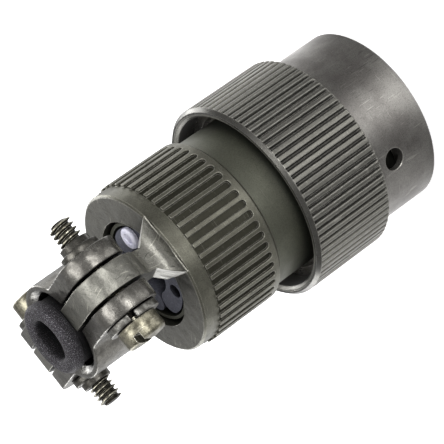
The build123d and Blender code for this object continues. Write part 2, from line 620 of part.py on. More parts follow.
def clinch_nut():
    """Clinch nut in the -X saddle's ear on the +Y side, where the screw ends."""
    bore_r = SCREW_R + RUN_CLEARANCE
    collar_x = -(ear_outer_x + CLINCH_COLLAR_HEIGHT)
    nose_x = collar_x - CLINCH_NOSE_HEIGHT
    shank_x = -(ear_outer_x - CLINCH_SHANK_LENGTH)
    shank_r = CLINCH_SHANK_R - SEAT_GAP
    nut = turned([
        (bore_r, shank_x), (shank_r, shank_x), (shank_r, -ear_outer_x - SEAT_GAP),
        (CLINCH_COLLAR_R, -ear_outer_x - SEAT_GAP), (CLINCH_COLLAR_R, collar_x),
        (CLINCH_NOSE_R, collar_x), (CLINCH_NOSE_R, nose_x), (bore_r, nose_x),
    ])
    return along_screw(nut)


def bushing():
    """Rubber bushing that the saddles grip round the cable."""
    return turned([
        (BUSHING_BORE_R, bushing_front_z), (BUSHING_R, bushing_front_z),
        (BUSHING_R, bushing_end_z - BUSHING_ROUND), (BUSHING_R - BUSHING_ROUND, bushing_end_z),
        (BUSHING_BORE_R + BUSHING_ROUND, bushing_end_z), (BUSHING_BORE_R, bushing_end_z - BUSHING_ROUND),
    ])


def main():
    """Build every piece and write one file for each."""
    half_turn = Rot(0, 0, 180)
    pieces = {
        "shell": shell(),
        "peripheral_seal": peripheral_seal(),
        "insert": insert(),
        "grommet": grommet(),
        "sealing_plug": sealing_plug(),
        "coupling_ring": coupling_ring(),
        "wave_washer": wave_washer(),
        "thrust_washer": thrust_washer(),
        "retaining_ring": retaining_ring(),
        "grommet_follower": grommet_follower(),
        "back_nut": back_nut(),
        "bushing": bushing(),
        "saddle_b": saddle(),
        "saddle_a": half_turn * saddle(),
        "clamp_screw_b": clamp_screw(),
        "clamp_screw_a": half_turn * clamp_screw(),
        "lock_washer_b": lock_washer(),
        "lock_washer_a": half_turn * lock_washer(),
        "clinch_nut_a": clinch_nut(),
        "clinch_nut_b": half_turn * clinch_nut(),
    }
    for number, place in enumerate(contact_places(), start=1):
        pieces[f"contact_{number}"] = contact(place)
    for name, piece in pieces.items():
        export_step(piece, f"parts/{name}.step")


main()
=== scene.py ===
"""Dresses a bayonet connector plug with its cable clamp, and sets the studio and camera.

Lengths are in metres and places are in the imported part's own axes: +Z runs along the
connector to its cable end, +X along the clamp screws, +Y towards one clamp arm.
"""

import json
import logging
import math
from collections.abc import Callable
from dataclasses import dataclass
from enum import Enum
from typing import ClassVar

import bpy
from mathutils import Matrix, Vector

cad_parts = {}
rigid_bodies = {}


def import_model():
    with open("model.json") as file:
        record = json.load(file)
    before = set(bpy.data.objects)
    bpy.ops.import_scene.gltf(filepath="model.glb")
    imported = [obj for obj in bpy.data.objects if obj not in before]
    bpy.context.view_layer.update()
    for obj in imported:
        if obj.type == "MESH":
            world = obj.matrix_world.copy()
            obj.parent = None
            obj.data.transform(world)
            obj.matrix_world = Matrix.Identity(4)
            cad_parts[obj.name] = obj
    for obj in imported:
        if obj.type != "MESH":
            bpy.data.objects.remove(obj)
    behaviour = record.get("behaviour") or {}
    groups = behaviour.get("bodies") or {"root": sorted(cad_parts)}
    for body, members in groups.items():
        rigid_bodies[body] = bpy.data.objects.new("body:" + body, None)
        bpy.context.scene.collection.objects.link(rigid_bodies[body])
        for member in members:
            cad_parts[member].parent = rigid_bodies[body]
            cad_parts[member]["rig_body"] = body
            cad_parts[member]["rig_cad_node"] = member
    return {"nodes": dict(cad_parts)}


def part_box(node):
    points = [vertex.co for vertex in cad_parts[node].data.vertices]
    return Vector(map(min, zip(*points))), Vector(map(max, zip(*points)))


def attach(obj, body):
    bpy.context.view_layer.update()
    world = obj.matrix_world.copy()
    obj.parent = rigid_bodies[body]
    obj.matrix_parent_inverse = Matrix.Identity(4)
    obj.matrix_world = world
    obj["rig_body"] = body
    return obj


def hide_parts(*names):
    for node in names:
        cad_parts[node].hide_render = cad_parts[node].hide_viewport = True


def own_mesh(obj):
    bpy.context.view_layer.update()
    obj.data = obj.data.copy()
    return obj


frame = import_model()

REPORT = logging.getLogger("connector")

Point = tuple[float, float, float]
Colour = tuple[float, float, float, float]
Span = tuple[float, float]
Socket = bpy.types.NodeSocket

MM = 0.001
TURN = 2 * math.pi
MERGE = 0.0005 * MM
WHITE: Colour = (1.0, 1.0, 1.0, 1.0)


class Run(Enum):
    """Which way the tool marks run on a metal piece."""

    ROUND_CONNECTOR = "rings about the connector axis"
    ROUND_SCREW = "rings about the screw axis"
    CAST = "no tool marks, a cast and tumbled skin"


class ScrewSide(Enum):
    """The two clamp screws, by the arm that each goes through."""

    PLUS_Y = "through the arm at +Y, with its head at +X"
    MINUS_Y = "through the arm at -Y, with its head at -X"


def tone(red: int, green: int, blue: int) -> Colour:
    """Turn a colour as seen on a screen into the linear colour that shaders use.

    Args:
        red: Red from 0 to 255.
        green: Green from 0 to 255.
        blue: Blue from 0 to 255.

    Returns:
        The linear colour with full alpha.
    """
    parts = []
    for value in (red, green, blue):
        share = value / 255
        parts.append(share / 12.92 if share <= 0.04045 else ((share + 0.055) / 1.055) ** 2.4)
    return (parts[0], parts[1], parts[2], 1.0)


def darker(colour: Colour, share: float) -> Colour:
    """Give a colour with less light in it.

    Args:
        colour: The linear colour.
        share: How much of its light stays.

    Returns:
        The darker linear colour.
    """
    return (colour[0] * share, colour[1] * share, colour[2] * share, 1.0)


class Graph:
    """The node tree of a material or of the world, built up node by node."""

    AO_SAMPLES = 6

    def __init__(self, owner: bpy.types.Material | bpy.types.World, output: str) -> None:
        """Start with an empty tree.

        Args:
            owner: Material or world that the tree belongs to.
            output: Blender's type name of its output node, without its common start.
        """
        self.owner = owner
        self.owner.use_nodes = True
        self.tree = owner.node_tree
        self.tree.nodes.clear()
        self.output = self.node(output, {})

    @classmethod
    def of_material(cls, name: str) -> "Graph":
        """Start the tree of a new material with the given name."""
        return cls(bpy.data.materials.new(name), "OutputMaterial")

    def node(self, kind: str, inputs: dict[str | int, object],
             **settings: object) -> bpy.types.Node:
        """Add a node, and set or link its inputs.

        Args:
            kind: Blender's type name of the node, without its common start.
            inputs: Value or source socket for each named or numbered input.
            **settings: Properties of the node itself.

        Returns:
            The new node.
        """
        made = self.tree.nodes.new("ShaderNode" + kind)
        for name, value in settings.items():
            setattr(made, name, value)
        for key, value in inputs.items():
            if isinstance(value, bpy.types.NodeSocket):
                self.tree.links.new(value, made.inputs[key])
            else:
                made.inputs[key].default_value = value
        return made

    def maths(self, operation: str, first: object, second: object = 0.0,
              third: object = 0.0) -> Socket:
        """Add one arithmetic step.

        Args:
            operation: Blender's name of the operation.
            first: First value or socket.
            second: Second value or socket.
            third: Third value or socket.

        Returns:
            The result socket.
        """
        return self.node("Math", {0: first, 1: second, 2: third}, operation=operation).outputs[0]

    def place(self) -> Socket:
        """Give the point on the piece in its own coordinates."""
        return self.node("TexCoord", {}).outputs["Object"]

    def split(self, vector: Socket) -> tuple[Socket, Socket, Socket]:
        """Split a vector into its three parts.

        Args:
            vector: Socket that carries the vector.

        Returns:
            The x, y and z sockets.
        """
        parts = self.node("SeparateXYZ", {0: vector})
        return parts.outputs[0], parts.outputs[1], parts.outputs[2]

    def join(self, x: object, y: object, z: object) -> Socket:
        """Join three values into a vector.

        Args:
            x: First value or socket.
            y: Second value or socket.
            z: Third value or socket.

        Returns:
            The vector socket.
        """
        return self.node("CombineXYZ", {0: x, 1: y, 2: z}).outputs[0]

    def noise(self, vector: Socket, grain: float, detail: float = 3.0,
              rough: float = 0.6) -> Socket:
        """Add soft noise.

        Args:
            vector: Where the noise is read.
            grain: Size of its patches in metres.
            detail: How many finer layers it has.
            rough: How strong the finer layers are.

        Returns:
            The noise value, from 0 to 1.
        """
        made = self.node("TexNoise", {"Vector": vector, "Scale": 1.0 / grain, "Detail": detail,
                                      "Roughness": rough})
        return made.outputs[0]

    def steps(self, value: Socket, low: float, high: float, start: float = 0.0,
              end: float = 1.0) -> Socket:
        """Stretch a value's range smoothly.

        Args:
            value: The value to stretch.
            low: Value that gives the start.
            high: Value that gives the end.
            start: Result at the low value.
            end: Result at the high value.

        Returns:
            The stretched value, held inside its range.
        """
        made = self.node("MapRange", {0: value, 1: low, 2: high, 3: start, 4: end},
                         interpolation_type="SMOOTHSTEP")
        return made.outputs[0]

    def blend(self, share: object, first: object, second: object) -> Socket:
        """Blend two colours.

        Args:
            share: How much of the second colour, from 0 to 1.
            first: First colour or socket.
            second: Second colour or socket.

        Returns:
            The blended colour.
        """
        return self.node("Mix", {0: share, 6: first, 7: second}, data_type="RGBA").outputs[2]

    def relief(self, height: Socket, depth: float, normal: Socket | None = None) -> Socket:
        """Turn a height into a bumped surface normal.

        Args:
            height: Height from 0 to 1.
            depth: What a height of 1 stands for, in metres.
            normal: Normal that the bump is laid on, if not the surface's own.

        Returns:
            The new normal.
        """
        inputs: dict[str | int, object] = {"Height": height, "Distance": depth, "Strength": 1.0}
        if normal is not None:
            inputs["Normal"] = normal
        return self.node("Bump", inputs).outputs[0]

    def openness(self, reach: float) -> Socket:
        """Give how open a point is within a reach, from 0 in a corner to 1."""
        made = self.node("AmbientOcclusion", {"Distance": reach}, samples=self.AO_SAMPLES)
        return made.outputs["AO"]

    def close(self, surface: Socket) -> None:
        """Lead a surface into the tree's output."""
        self.tree.links.new(surface, self.output.inputs[0])

    def finish(self, inputs: dict[str | int, object]) -> bpy.types.Material:
        """Add the surface shader and close the tree.

        Args:
            inputs: Values and sockets of the surface shader.

        Returns:
            The finished material.
        """
        self.close(self.node("BsdfPrincipled", inputs).outputs[0])
        return self.owner


@dataclass(frozen=True)
class ShadedHollow:
    """Where a metal piece has grooves, and the dark tint painted on their floors as shade."""

    floor: float
    crest: float
    low: float
    high: float
    tint: Colour
    fade: float = 0.05 * MM

    def share(self, graph: Graph, radius: Socket, height: Socket) -> Socket:
        """Give how much of the painted shade shows.

        Args:
            graph: The material's node tree.
            radius: Distance from the axis that the grooves go round.
            height: Height of the point.

        Returns:
            The share, from 0 on a crest to 1 on a groove's floor.
        """
        deep = graph.steps(radius, self.floor, self.crest, 1.0, 0.0)
        above = graph.steps(height, self.low - self.fade, self.low + self.fade)
        below = graph.steps(height, self.high - self.fade, self.high + self.fade, 1.0, 0.0)
        return graph.maths("MULTIPLY", deep, graph.maths("MULTIPLY", above, below))


@dataclass(frozen=True)
class HeightTint:
    """A short rise over which a finish takes another colour and roughness."""

    low: float
    high: float
    colour: Colour
    dull: float


@dataclass(frozen=True)
class CoatedMetal:
    """Plated or anodised metal with tool marks, worn edges with a painted highlight, and dirt with
    painted shade in its corners.

    Fields from patch to crevice are sizes, and those from dirt_and_shade to scratches say how
    much of each effect shows. A span gives the two levels between which an effect comes in.
    """

    name: str
    colour: Colour
    shade: Colour
    worn_and_glint: Colour
    run: Run
    roughness: float = 0.4
    metallic: float = 0.75
    stretch: float = 0.6
    patch: float = 3.5 * MM
    mark: float = 0.12 * MM
    mark_depth: float = 0.006 * MM
    edge: float = 0.12 * MM
    crevice: float = 0.6 * MM
    swell: float = 0.0
    dirt_and_shade: float = 0.55
    flecks: float = 0.35
    grit: float = 0.45
    nicks: float = 0.5
    scratches: float = 0.0
    scratch_low: float = -1.0
    axis_y: float = 0.0
    axis_z: float = 0.0
    shaded_hollow: ShadedHollow | None = None
    height_tint: HeightTint | None = None

    BEVEL_SAMPLES: ClassVar[int] = 4
    RING_TURN: ClassVar[float] = 0.4 * MM
    SCREW_TURN: ClassVar[float] = 0.1 * MM
    PATCH_SPAN: ClassVar[Span] = (0.35, 0.65)
    DULL_SPAN: ClassVar[Span] = (0.3, 0.7)
    DULL_BELOW: ClassVar[float] = 0.07
    DULL_ABOVE: ClassVar[float] = 0.08
    DULL_MARKS: ClassVar[float] = 0.15
    DULL_HOLLOW: ClassVar[float] = 0.2
    WAVE_GRAIN: ClassVar[float] = 1.5 * MM
    GRIT_GRAIN: ClassVar[float] = 0.14 * MM
    GRIT_SPAN: ClassVar[Span] = (0.42, 0.66)
    GRIT_SHADE: ClassVar[float] = 0.3
    SPECK_GRAIN: ClassVar[float] = 0.35 * MM
    SPECK_DEPTH: ClassVar[float] = 0.7
    FLECK_SPAN: ClassVar[Span] = (0.6, 0.75)
    NICK_SPAN: ClassVar[Span] = (0.64, 0.76)
    SCRATCH_PATCH: ClassVar[float] = 4 * MM
    SCRATCH_PATCH_SPAN: ClassVar[Span] = (0.43, 0.57)
    SCRATCH_FADE: ClassVar[Span] = (0.1 * MM, 0.05 * MM)
    SCRATCH_GRAIN: ClassVar[float] = 2.4 * MM
    SCRATCH_THIN: ClassVar[float] = 18.0
    SCRATCH_SPAN: ClassVar[Span] = (0.66, 0.73)
    SCRATCH_LEANS: ClassVar[Span] = (0.6, -1.4)
    SCRATCH_SHADE: ClassVar[float] = 0.25
    WORN_AND_GLINT_SPAN: ClassVar[Span] = (0.985, 0.86)
    WORN_AND_GLINT_BREAK: ClassVar[tuple[float, float, float, float]] = (0.3, 0.6, 0.35, 0.9)
    DIRT_AND_SHADE_SPAN: ClassVar[Span] = (0.75, 0.25)
    DIRT_AND_SHADE_LEVEL: ClassVar[float] = 0.12

    def brushing(self, graph: Graph, point: Socket) -> Socket:
        """Give the direction across the tool marks, in which highlights stretch.

        Args:
            graph: The material's node tree.
            point: The point on the piece.

        Returns:
            The direction as a vector.
        """
        x, y, z = graph.split(point)
        normal = graph.node("TexCoord", {}).outputs["Normal"]
        if self.run is Run.ROUND_CONNECTOR:
            along = graph.join(graph.maths("MULTIPLY", y, -1.0), x, 0.0)
        else:
            side = graph.maths("SUBTRACT", graph.maths("ABSOLUTE", y), self.axis_y)
            along = graph.join(0.0, graph.maths("SUBTRACT", self.axis_z, z),
                               graph.maths("MULTIPLY", side, graph.maths("SIGN", y)))
        across = graph.node("VectorMath", {0: normal, 1: along}, operation="CROSS_PRODUCT")
        unit = graph.node("VectorMath", {0: across.outputs[0]}, operation="NORMALIZE")
        world = graph.node("VectorTransform", {0: unit.outputs[0]}, vector_type="VECTOR",
                           convert_from="OBJECT", convert_to="WORLD")
        return world.outputs[0]

    def radius(self, graph: Graph, point: Socket) -> Socket:
        """Give the distance from the axis that the tool marks go round.

        Args:
            graph: The material's node tree.
            point: The point on the piece.

        Returns:
            The distance in metres.
        """
        x, y, z = graph.split(point)
        if self.run is Run.ROUND_SCREW:
            x = graph.maths("SUBTRACT", graph.maths("ABSOLUTE", y), self.axis_y)
            y = graph.maths("SUBTRACT", z, self.axis_z)
        return graph.maths("SQRT", graph.maths("ADD", graph.maths("MULTIPLY", x, x),
                                               graph.maths("MULTIPLY", y, y)))

    def marks_at(self, graph: Graph, point: Socket) -> Socket:
        """Give the coordinates in which the tool marks are long and thin.

        Args:
            graph: The material's node tree.
            point: The point on the piece.

        Returns:
            The stretched coordinates.
        """
        x, y, z = graph.split(point)
        if self.run is Run.ROUND_CONNECTOR:
            turn = graph.maths("MULTIPLY", graph.maths("ARCTAN2", y, x), self.RING_TURN)
            return graph.join(self.radius(graph, point), turn, z)
        if self.run is Run.ROUND_SCREW:
            side = graph.maths("SUBTRACT", graph.maths("ABSOLUTE", y), self.axis_y)
            rise = graph.maths("SUBTRACT", z, self.axis_z)
            turn = graph.maths("MULTIPLY", graph.maths("ARCTAN2", rise, side), self.SCREW_TURN)
            return graph.join(self.radius(graph, point), turn, x)
        return point

    def grained(self, graph: Graph, point: Socket, colour: Socket, marks: Socket,
                specks: Socket) -> Socket:
        """Lay fine dark grit, flecks and bright nicks over the colour.

        Args:
            graph: The material's node tree.
            point: The point on the piece.
            colour: The colour so far.
            marks: Noise along the tool marks.
            specks: Fine noise.

        Returns:
            The grained colour.
        """
        fine = graph.noise(point, self.GRIT_GRAIN, 3.0, 0.75)
        grit = graph.steps(fine, *self.GRIT_SPAN, 0.0, self.grit)
        colour = graph.blend(grit, colour, darker(self.shade, self.GRIT_SHADE))
        fleck = graph.steps(specks, *self.FLECK_SPAN, 0.0, self.flecks)
        colour = graph.blend(fleck, colour, self.shade)
        nick = graph.steps(marks, *self.NICK_SPAN, 0.0, self.nicks)
        return graph.blend(nick, colour, self.worn_and_glint)

    def scratched(self, graph: Graph, point: Socket, colour: Socket) -> Socket:
        """Draw bright scratches one way and dark ones another, in patches.

        Args:
            graph: The material's node tree.
            point: The point on the piece.
            colour: The colour so far.

        Returns:
            The scratched colour.
        """
        x, y, height = graph.split(point)
        patch = graph.noise(point, self.SCRATCH_PATCH, 1.0)
        patch = graph.steps(patch, *self.SCRATCH_PATCH_SPAN, 0.0, self.scratches)
        start, end = self.SCRATCH_FADE
        above = graph.steps(height, self.scratch_low - start, self.scratch_low - end)
        patch = graph.maths("MULTIPLY", patch, above)
        tints = (self.worn_and_glint, darker(self.shade, self.SCRATCH_SHADE))
        for lean, tint in zip(self.SCRATCH_LEANS, tints):
            across = graph.maths("MULTIPLY_ADD", y, lean, x)
            along = graph.maths("MULTIPLY_ADD", x, -lean, y)
            line = graph.join(graph.maths("MULTIPLY", across, self.SCRATCH_THIN), along, height)
            scratch = graph.steps(graph.noise(line, self.SCRATCH_GRAIN, 1.0, 0.3),
                                  *self.SCRATCH_SPAN)
            colour = graph.blend(graph.maths("MULTIPLY", scratch, patch), colour, tint)
        return colour

    def aged(self, graph: Graph, colour: Socket, rounded: Socket, specks: Socket) -> Socket:
        """Wear the edges bright, partly as a painted highlight, and darken the corners with dirt
        and painted shade.

        Args:
            graph: The material's node tree.
            colour: The colour so far.
            rounded: Normal with rounded edges.
            specks: Fine noise.

        Returns:
            The aged colour.
        """
        surface = graph.node("NewGeometry", {}).outputs["Normal"]
        facing = graph.node("VectorMath", {0: rounded, 1: surface}, operation="DOT_PRODUCT")
        # Edge mask: real edge wear together with a painted highlight along the edges.
        worn_and_glint = graph.steps(facing.outputs["Value"], *self.WORN_AND_GLINT_SPAN)
        wear_and_glint = graph.maths("MULTIPLY", worn_and_glint, graph.steps(specks, *self.WORN_AND_GLINT_BREAK))
        colour = graph.blend(wear_and_glint, colour, self.worn_and_glint)
        # Darkening where the surroundings close in: partly dirt, mostly painted shade.
        dirt_and_shade = graph.steps(graph.openness(self.crevice), *self.DIRT_AND_SHADE_SPAN, 0.0, self.dirt_and_shade)
        return graph.blend(dirt_and_shade, colour, darker(self.shade, self.DIRT_AND_SHADE_LEVEL))

    def worked(self, graph: Graph, rounded: Socket, wave: Socket, marks: Socket,
               specks: Socket) -> Socket:
        """Lay the casting's swell, the tool marks and the grain on the rounded normal.

        Args:
            graph: The material's node tree.
            rounded: Normal with rounded edges.
            wave: Broad noise.
            marks: Noise along the tool marks.
            specks: Fine noise.

        Returns:
            The finished normal.
        """
        normal = graph.relief(wave, self.swell, rounded) if self.swell else rounded
        normal = graph.relief(marks, self.mark_depth, normal)
        return graph.relief(specks, self.mark_depth * self.SPECK_DEPTH, normal)

    def build(self) -> bpy.types.Material:
        """Build the material.

        Returns:
            The finished material.
        """
        graph = Graph.of_material(self.name)
        point = graph.place()
        height = graph.split(point)[2]
        patches = graph.noise(point, self.patch, 4.0)
        marks = graph.noise(self.marks_at(graph, point), self.mark, 2.0, 0.7)
        specks = graph.noise(point, self.SPECK_GRAIN, 2.0, 0.8)
        wave = graph.noise(point, self.WAVE_GRAIN, 2.0, 0.4)
        colour = graph.blend(graph.steps(patches, *self.PATCH_SPAN), self.colour, self.shade)
        dull = graph.steps(patches, *self.DULL_SPAN, self.roughness - self.DULL_BELOW,
                           self.roughness + self.DULL_ABOVE)
        uneven = graph.maths("SUBTRACT", marks, 0.5)
        dull = graph.maths("MULTIPLY_ADD", uneven, self.DULL_MARKS, dull)
        if self.height_tint is not None:
            share = graph.steps(height, self.height_tint.low, self.height_tint.high)
            colour = graph.blend(share, colour, self.height_tint.colour)
            dull = graph.maths("MULTIPLY_ADD", share, self.height_tint.dull, dull)
            wave = graph.maths("MULTIPLY", wave, share)
        if self.shaded_hollow is not None:
            share = self.shaded_hollow.share(graph, self.radius(graph, point), height)
            colour = graph.blend(share, colour, self.shaded_hollow.tint)
            dull = graph.maths("MULTIPLY_ADD", share, self.DULL_HOLLOW, dull)
        colour = self.grained(graph, point, colour, marks, specks)
        if self.scratches:
            colour = self.scratched(graph, point, colour)
        bevel = graph.node("Bevel", {"Radius": self.edge}, samples=self.BEVEL_SAMPLES)
        rounded = bevel.outputs[0]
        inputs: dict[str | int, object] = {
            "Base Color": self.aged(graph, colour, rounded, specks),
            "Metallic": self.metallic, "Roughness": dull,
            "Normal": self.worked(graph, rounded, wave, marks, specks)}
        if self.run is not Run.CAST:
            inputs["Anisotropic"] = self.stretch
            inputs["Tangent"] = self.brushing(graph, point)
        return graph.finish(inputs)


@dataclass(frozen=True)
class MouldedRubber:
    """Dark rubber with a fine dusty grain, a few pale specks and painted shade in its hollows."""

    name: str
    colour: Colour
    dust: Colour
    grain: float = 0.22 * MM
    depth: float = 0.02 * MM
    roughness: float = 0.72
    cloud: float = 0.2
    specks: float = 0.75
    shadow: float = 2.4 * MM

    SHINE: ClassVar[float] = 0.2
    CLOUD_GRAIN: ClassVar[float] = 2.5 * MM
    CLOUD_SPAN: ClassVar[Span] = (0.4, 0.65)
    DUST_SPAN: ClassVar[Span] = (0.5, 0.7)
    DUST: ClassVar[float] = 0.5
    SPECK_GRAIN: ClassVar[float] = 0.09 * MM
    SPECK_SPAN: ClassVar[Span] = (0.57, 0.7)
    SPECK_TONE: ClassVar[Colour] = tone(166, 164, 170)
    SHADOW_SPAN: ClassVar[Span] = (0.8, 0.45)
    SHADOW: ClassVar[float] = 0.95
    SHADOW_SHADE: ClassVar[float] = 0.12
    DULL_SPAN: ClassVar[Span] = (0.3, 0.7)
    DULL_BELOW: ClassVar[float] = 0.08
    DULL_ABOVE: ClassVar[float] = 0.1

    def build(self) -> bpy.types.Material:
        """Build the material.

        Returns:
            The finished material.
        """
        graph = Graph.of_material(self.name)
        point = graph.place()
        fine = graph.noise(point, self.grain, 3.0, 0.7)
        cloud = graph.noise(point, self.CLOUD_GRAIN, 3.0)
        tiny = graph.noise(point, self.SPECK_GRAIN, 2.0, 0.7)
        layers = (
            (graph.steps(cloud, *self.CLOUD_SPAN, 0.0, self.cloud), self.dust),
            (graph.steps(fine, *self.DUST_SPAN, 0.0, self.DUST), self.dust),
            (graph.steps(tiny, *self.SPECK_SPAN, 0.0, self.specks), self.SPECK_TONE),
            (graph.steps(graph.openness(self.shadow), *self.SHADOW_SPAN, 0.0, self.SHADOW),
             darker(self.colour, self.SHADOW_SHADE)),
        )
        colour: object = self.colour
        for share, tint in layers:
            colour = graph.blend(share, colour, tint)
        dull = graph.steps(cloud, *self.DULL_SPAN, self.roughness - self.DULL_BELOW,
                           self.roughness + self.DULL_ABOVE)
        return graph.finish({"Base Color": colour, "Roughness": dull,
                             "Normal": graph.relief(fine, self.depth),
                             "Specular IOR Level": self.SHINE})


@dataclass(frozen=True)
class HardPlastic:
    """Moulded plastic with a slightly mottled surface."""

    name: str
    colour: Colour
    shade: Colour
    grain: float = 0.5 * MM
    depth: float = 0.02 * MM
    roughness: float = 0.45

    CLOUD_SPAN: ClassVar[Span] = (0.35, 0.65)
    DULL_SPAN: ClassVar[Span] = (0.3, 0.7)
    DULL_BELOW: ClassVar[float] = 0.08
    DULL_ABOVE: ClassVar[float] = 0.12

    def build(self) -> bpy.types.Material:
        """Build the material.

        Returns:
            The finished material.
        """
        graph = Graph.of_material(self.name)
        point = graph.place()
        cells = graph.node("TexVoronoi", {"Vector": point, "Scale": 1.0 / self.grain})
        cloud = graph.noise(point, self.grain * 2, 3.0)
        colour = graph.blend(graph.steps(cloud, *self.CLOUD_SPAN), self.colour, self.shade)
        dull = graph.steps(cloud, *self.DULL_SPAN, self.roughness - self.DULL_BELOW,
                           self.roughness + self.DULL_ABOVE)
        return graph.finish({"Base Color": colour, "Roughness": dull,
                             "Normal": graph.relief(cells.outputs["Distance"], self.depth)})


class Finishes:
    """Every material of the plug, built once."""

    def __init__(self, screw_y: float, screw_z: float, end_face_z: float) -> None:
        """Build all the materials.

        Args:
            screw_y: Distance of the screw axes from the connector axis.
            screw_z: Height of the screw axes.
            end_face_z: Height of the back nut's end face.
        """
        self.anodised(end_face_z)
        self.castings()
        self.fasteners(screw_y, screw_z)
        self.soft_and_inner()

    def anodised(self, end_face_z: float) -> None:
        """Build the finishes of the turned ring, shell and back nut.

        Args:
            end_face_z: Height of the back nut's end face.
        """
        rings = Run.ROUND_CONNECTOR
        ribs = ShadedHollow(floor=12.72 * MM, crest=12.98 * MM, low=9.4 * MM, high=20.8 * MM,
                      tint=tone(50, 49, 46))
        # The ribbed part is darker: partly its own more olive tone, partly painted shade of the
        # ribs on one another.
        ribbed_part = HeightTint(low=9.2 * MM, high=9.5 * MM, colour=tone(104, 103, 97), dull=0.03)
        self.ring = CoatedMetal(
            "ring_anodised", tone(126, 124, 120), tone(103, 100, 97), tone(172, 170, 163), rings,
            roughness=0.38, metallic=0.85, patch=6 * MM, edge=0.22 * MM, crevice=0.8 * MM,
            dirt_and_shade=0.85, flecks=0.25, scratches=0.35, shaded_hollow=ribs, height_tint=ribbed_part).build()
        self.rim = CoatedMetal(
            "rim_anodised", tone(78, 77, 73), tone(66, 65, 62), tone(150, 148, 143), rings,
            roughness=0.3, metallic=0.85, patch=3 * MM, flecks=0.2).build()
        # The shell's wide darkening reach is painted shade from the ring's rim and the nut.
        self.shell = CoatedMetal(
            "shell_anodised", tone(80, 81, 70), tone(71, 72, 62), tone(130, 128, 117), rings,
            roughness=0.52, metallic=0.6, stretch=0.2, patch=6 * MM, crevice=3.5 * MM,
            dirt_and_shade=0.8, flecks=0.2, nicks=0.2).build()
        grooves = ShadedHollow(floor=10.7 * MM, crest=10.92 * MM, low=26.3 * MM,
                         high=end_face_z - 2.2 * MM, tint=tone(44, 43, 34))
        face_and_arms = HeightTint(low=end_face_z - 0.08 * MM, high=end_face_z - 0.03 * MM,
                                   colour=tone(108, 107, 101), dull=-0.04)
        self.nut = CoatedMetal(
            "nut_anodised", tone(97, 96, 86), tone(80, 79, 70), tone(150, 148, 138), rings,
            roughness=0.42, metallic=0.8, stretch=0.3, edge=0.2 * MM, crevice=0.8 * MM,
            swell=0.15 * MM, dirt_and_shade=0.85, scratches=0.9, scratch_low=end_face_z,
            shaded_hollow=grooves, height_tint=face_and_arms).build()

    def castings(self) -> None:
        """Build the finishes of the saddles and clinch nuts."""
        self.casting = CoatedMetal(
            "saddle_anodised", tone(108, 106, 101), tone(82, 80, 76), tone(206, 204, 200),
            Run.CAST, roughness=0.28, metallic=0.88, patch=1.3 * MM, crevice=1.5 * MM,
            swell=0.13 * MM, dirt_and_shade=0.95).build()
        self.clinch = CoatedMetal(
            "clinch_anodised", tone(84, 82, 77), tone(62, 60, 56), tone(196, 194, 188),
            Run.CAST, roughness=0.3, metallic=0.85, patch=0.8 * MM, crevice=1.0 * MM,
            dirt_and_shade=0.9).build()

    def fasteners(self, screw_y: float, screw_z: float) -> None:
        """Build the finishes of the screws, washers and springs.

        Args:
            screw_y: Distance of the screw axes from the connector axis.
            screw_z: Height of the screw axes.
        """
        self.screw = CoatedMetal(
            "screw_nickel", tone(136, 132, 116), tone(84, 81, 69), tone(240, 237, 224),
            Run.ROUND_SCREW, roughness=0.38, metallic=0.9, stretch=0.2, patch=0.8 * MM,
            mark=0.08 * MM, axis_y=screw_y, axis_z=screw_z).build()
        roots = ShadedHollow(floor=1.14 * MM, crest=1.45 * MM, low=0.0, high=0.1, tint=tone(22, 20, 15))
        self.thread = CoatedMetal(
            "thread_nickel", tone(164, 161, 146), tone(100, 96, 82), tone(240, 236, 220),
            Run.ROUND_SCREW, roughness=0.27, metallic=0.9, stretch=0.0, patch=0.8 * MM,
            edge=0.05 * MM, crevice=0.4 * MM, dirt_and_shade=0.9, nicks=0.0, axis_y=screw_y,
            axis_z=screw_z, shaded_hollow=roots).build()
        self.washer = CoatedMetal(
            "washer_plated", tone(128, 127, 122), tone(74, 72, 68), tone(226, 226, 222),
            Run.CAST, roughness=0.36, metallic=0.9, patch=0.7 * MM).build()
        self.steel = CoatedMetal(
            "spring_steel", tone(150, 148, 142), tone(110, 106, 98), tone(205, 203, 198),
            Run.ROUND_CONNECTOR, roughness=0.3, metallic=0.95).build()

    def soft_and_inner(self) -> None:
        """Build the finishes of the rubber, the plastic and the contacts."""
        self.rubber = MouldedRubber("bushing_rubber", tone(28, 26, 29), tone(60, 57, 62),
                                    shadow=6 * MM).build()
        self.grommet = MouldedRubber("grommet_rubber", tone(80, 81, 91), tone(122, 124, 134),
                                     grain=0.3 * MM, specks=0.2).build()
        self.plug = HardPlastic("plug_plastic", tone(222, 221, 234), tone(184, 184, 204)).build()
        self.insulator = HardPlastic("insert_plastic", tone(58, 54, 50), tone(44, 41, 38),
                                     roughness=0.5).build()
        self.contact = CoatedMetal(
            "contact_gold", tone(226, 190, 110), tone(190, 150, 80), tone(246, 224, 160),
            Run.CAST, roughness=0.22, metallic=1.0, patch=1.2 * MM).build()


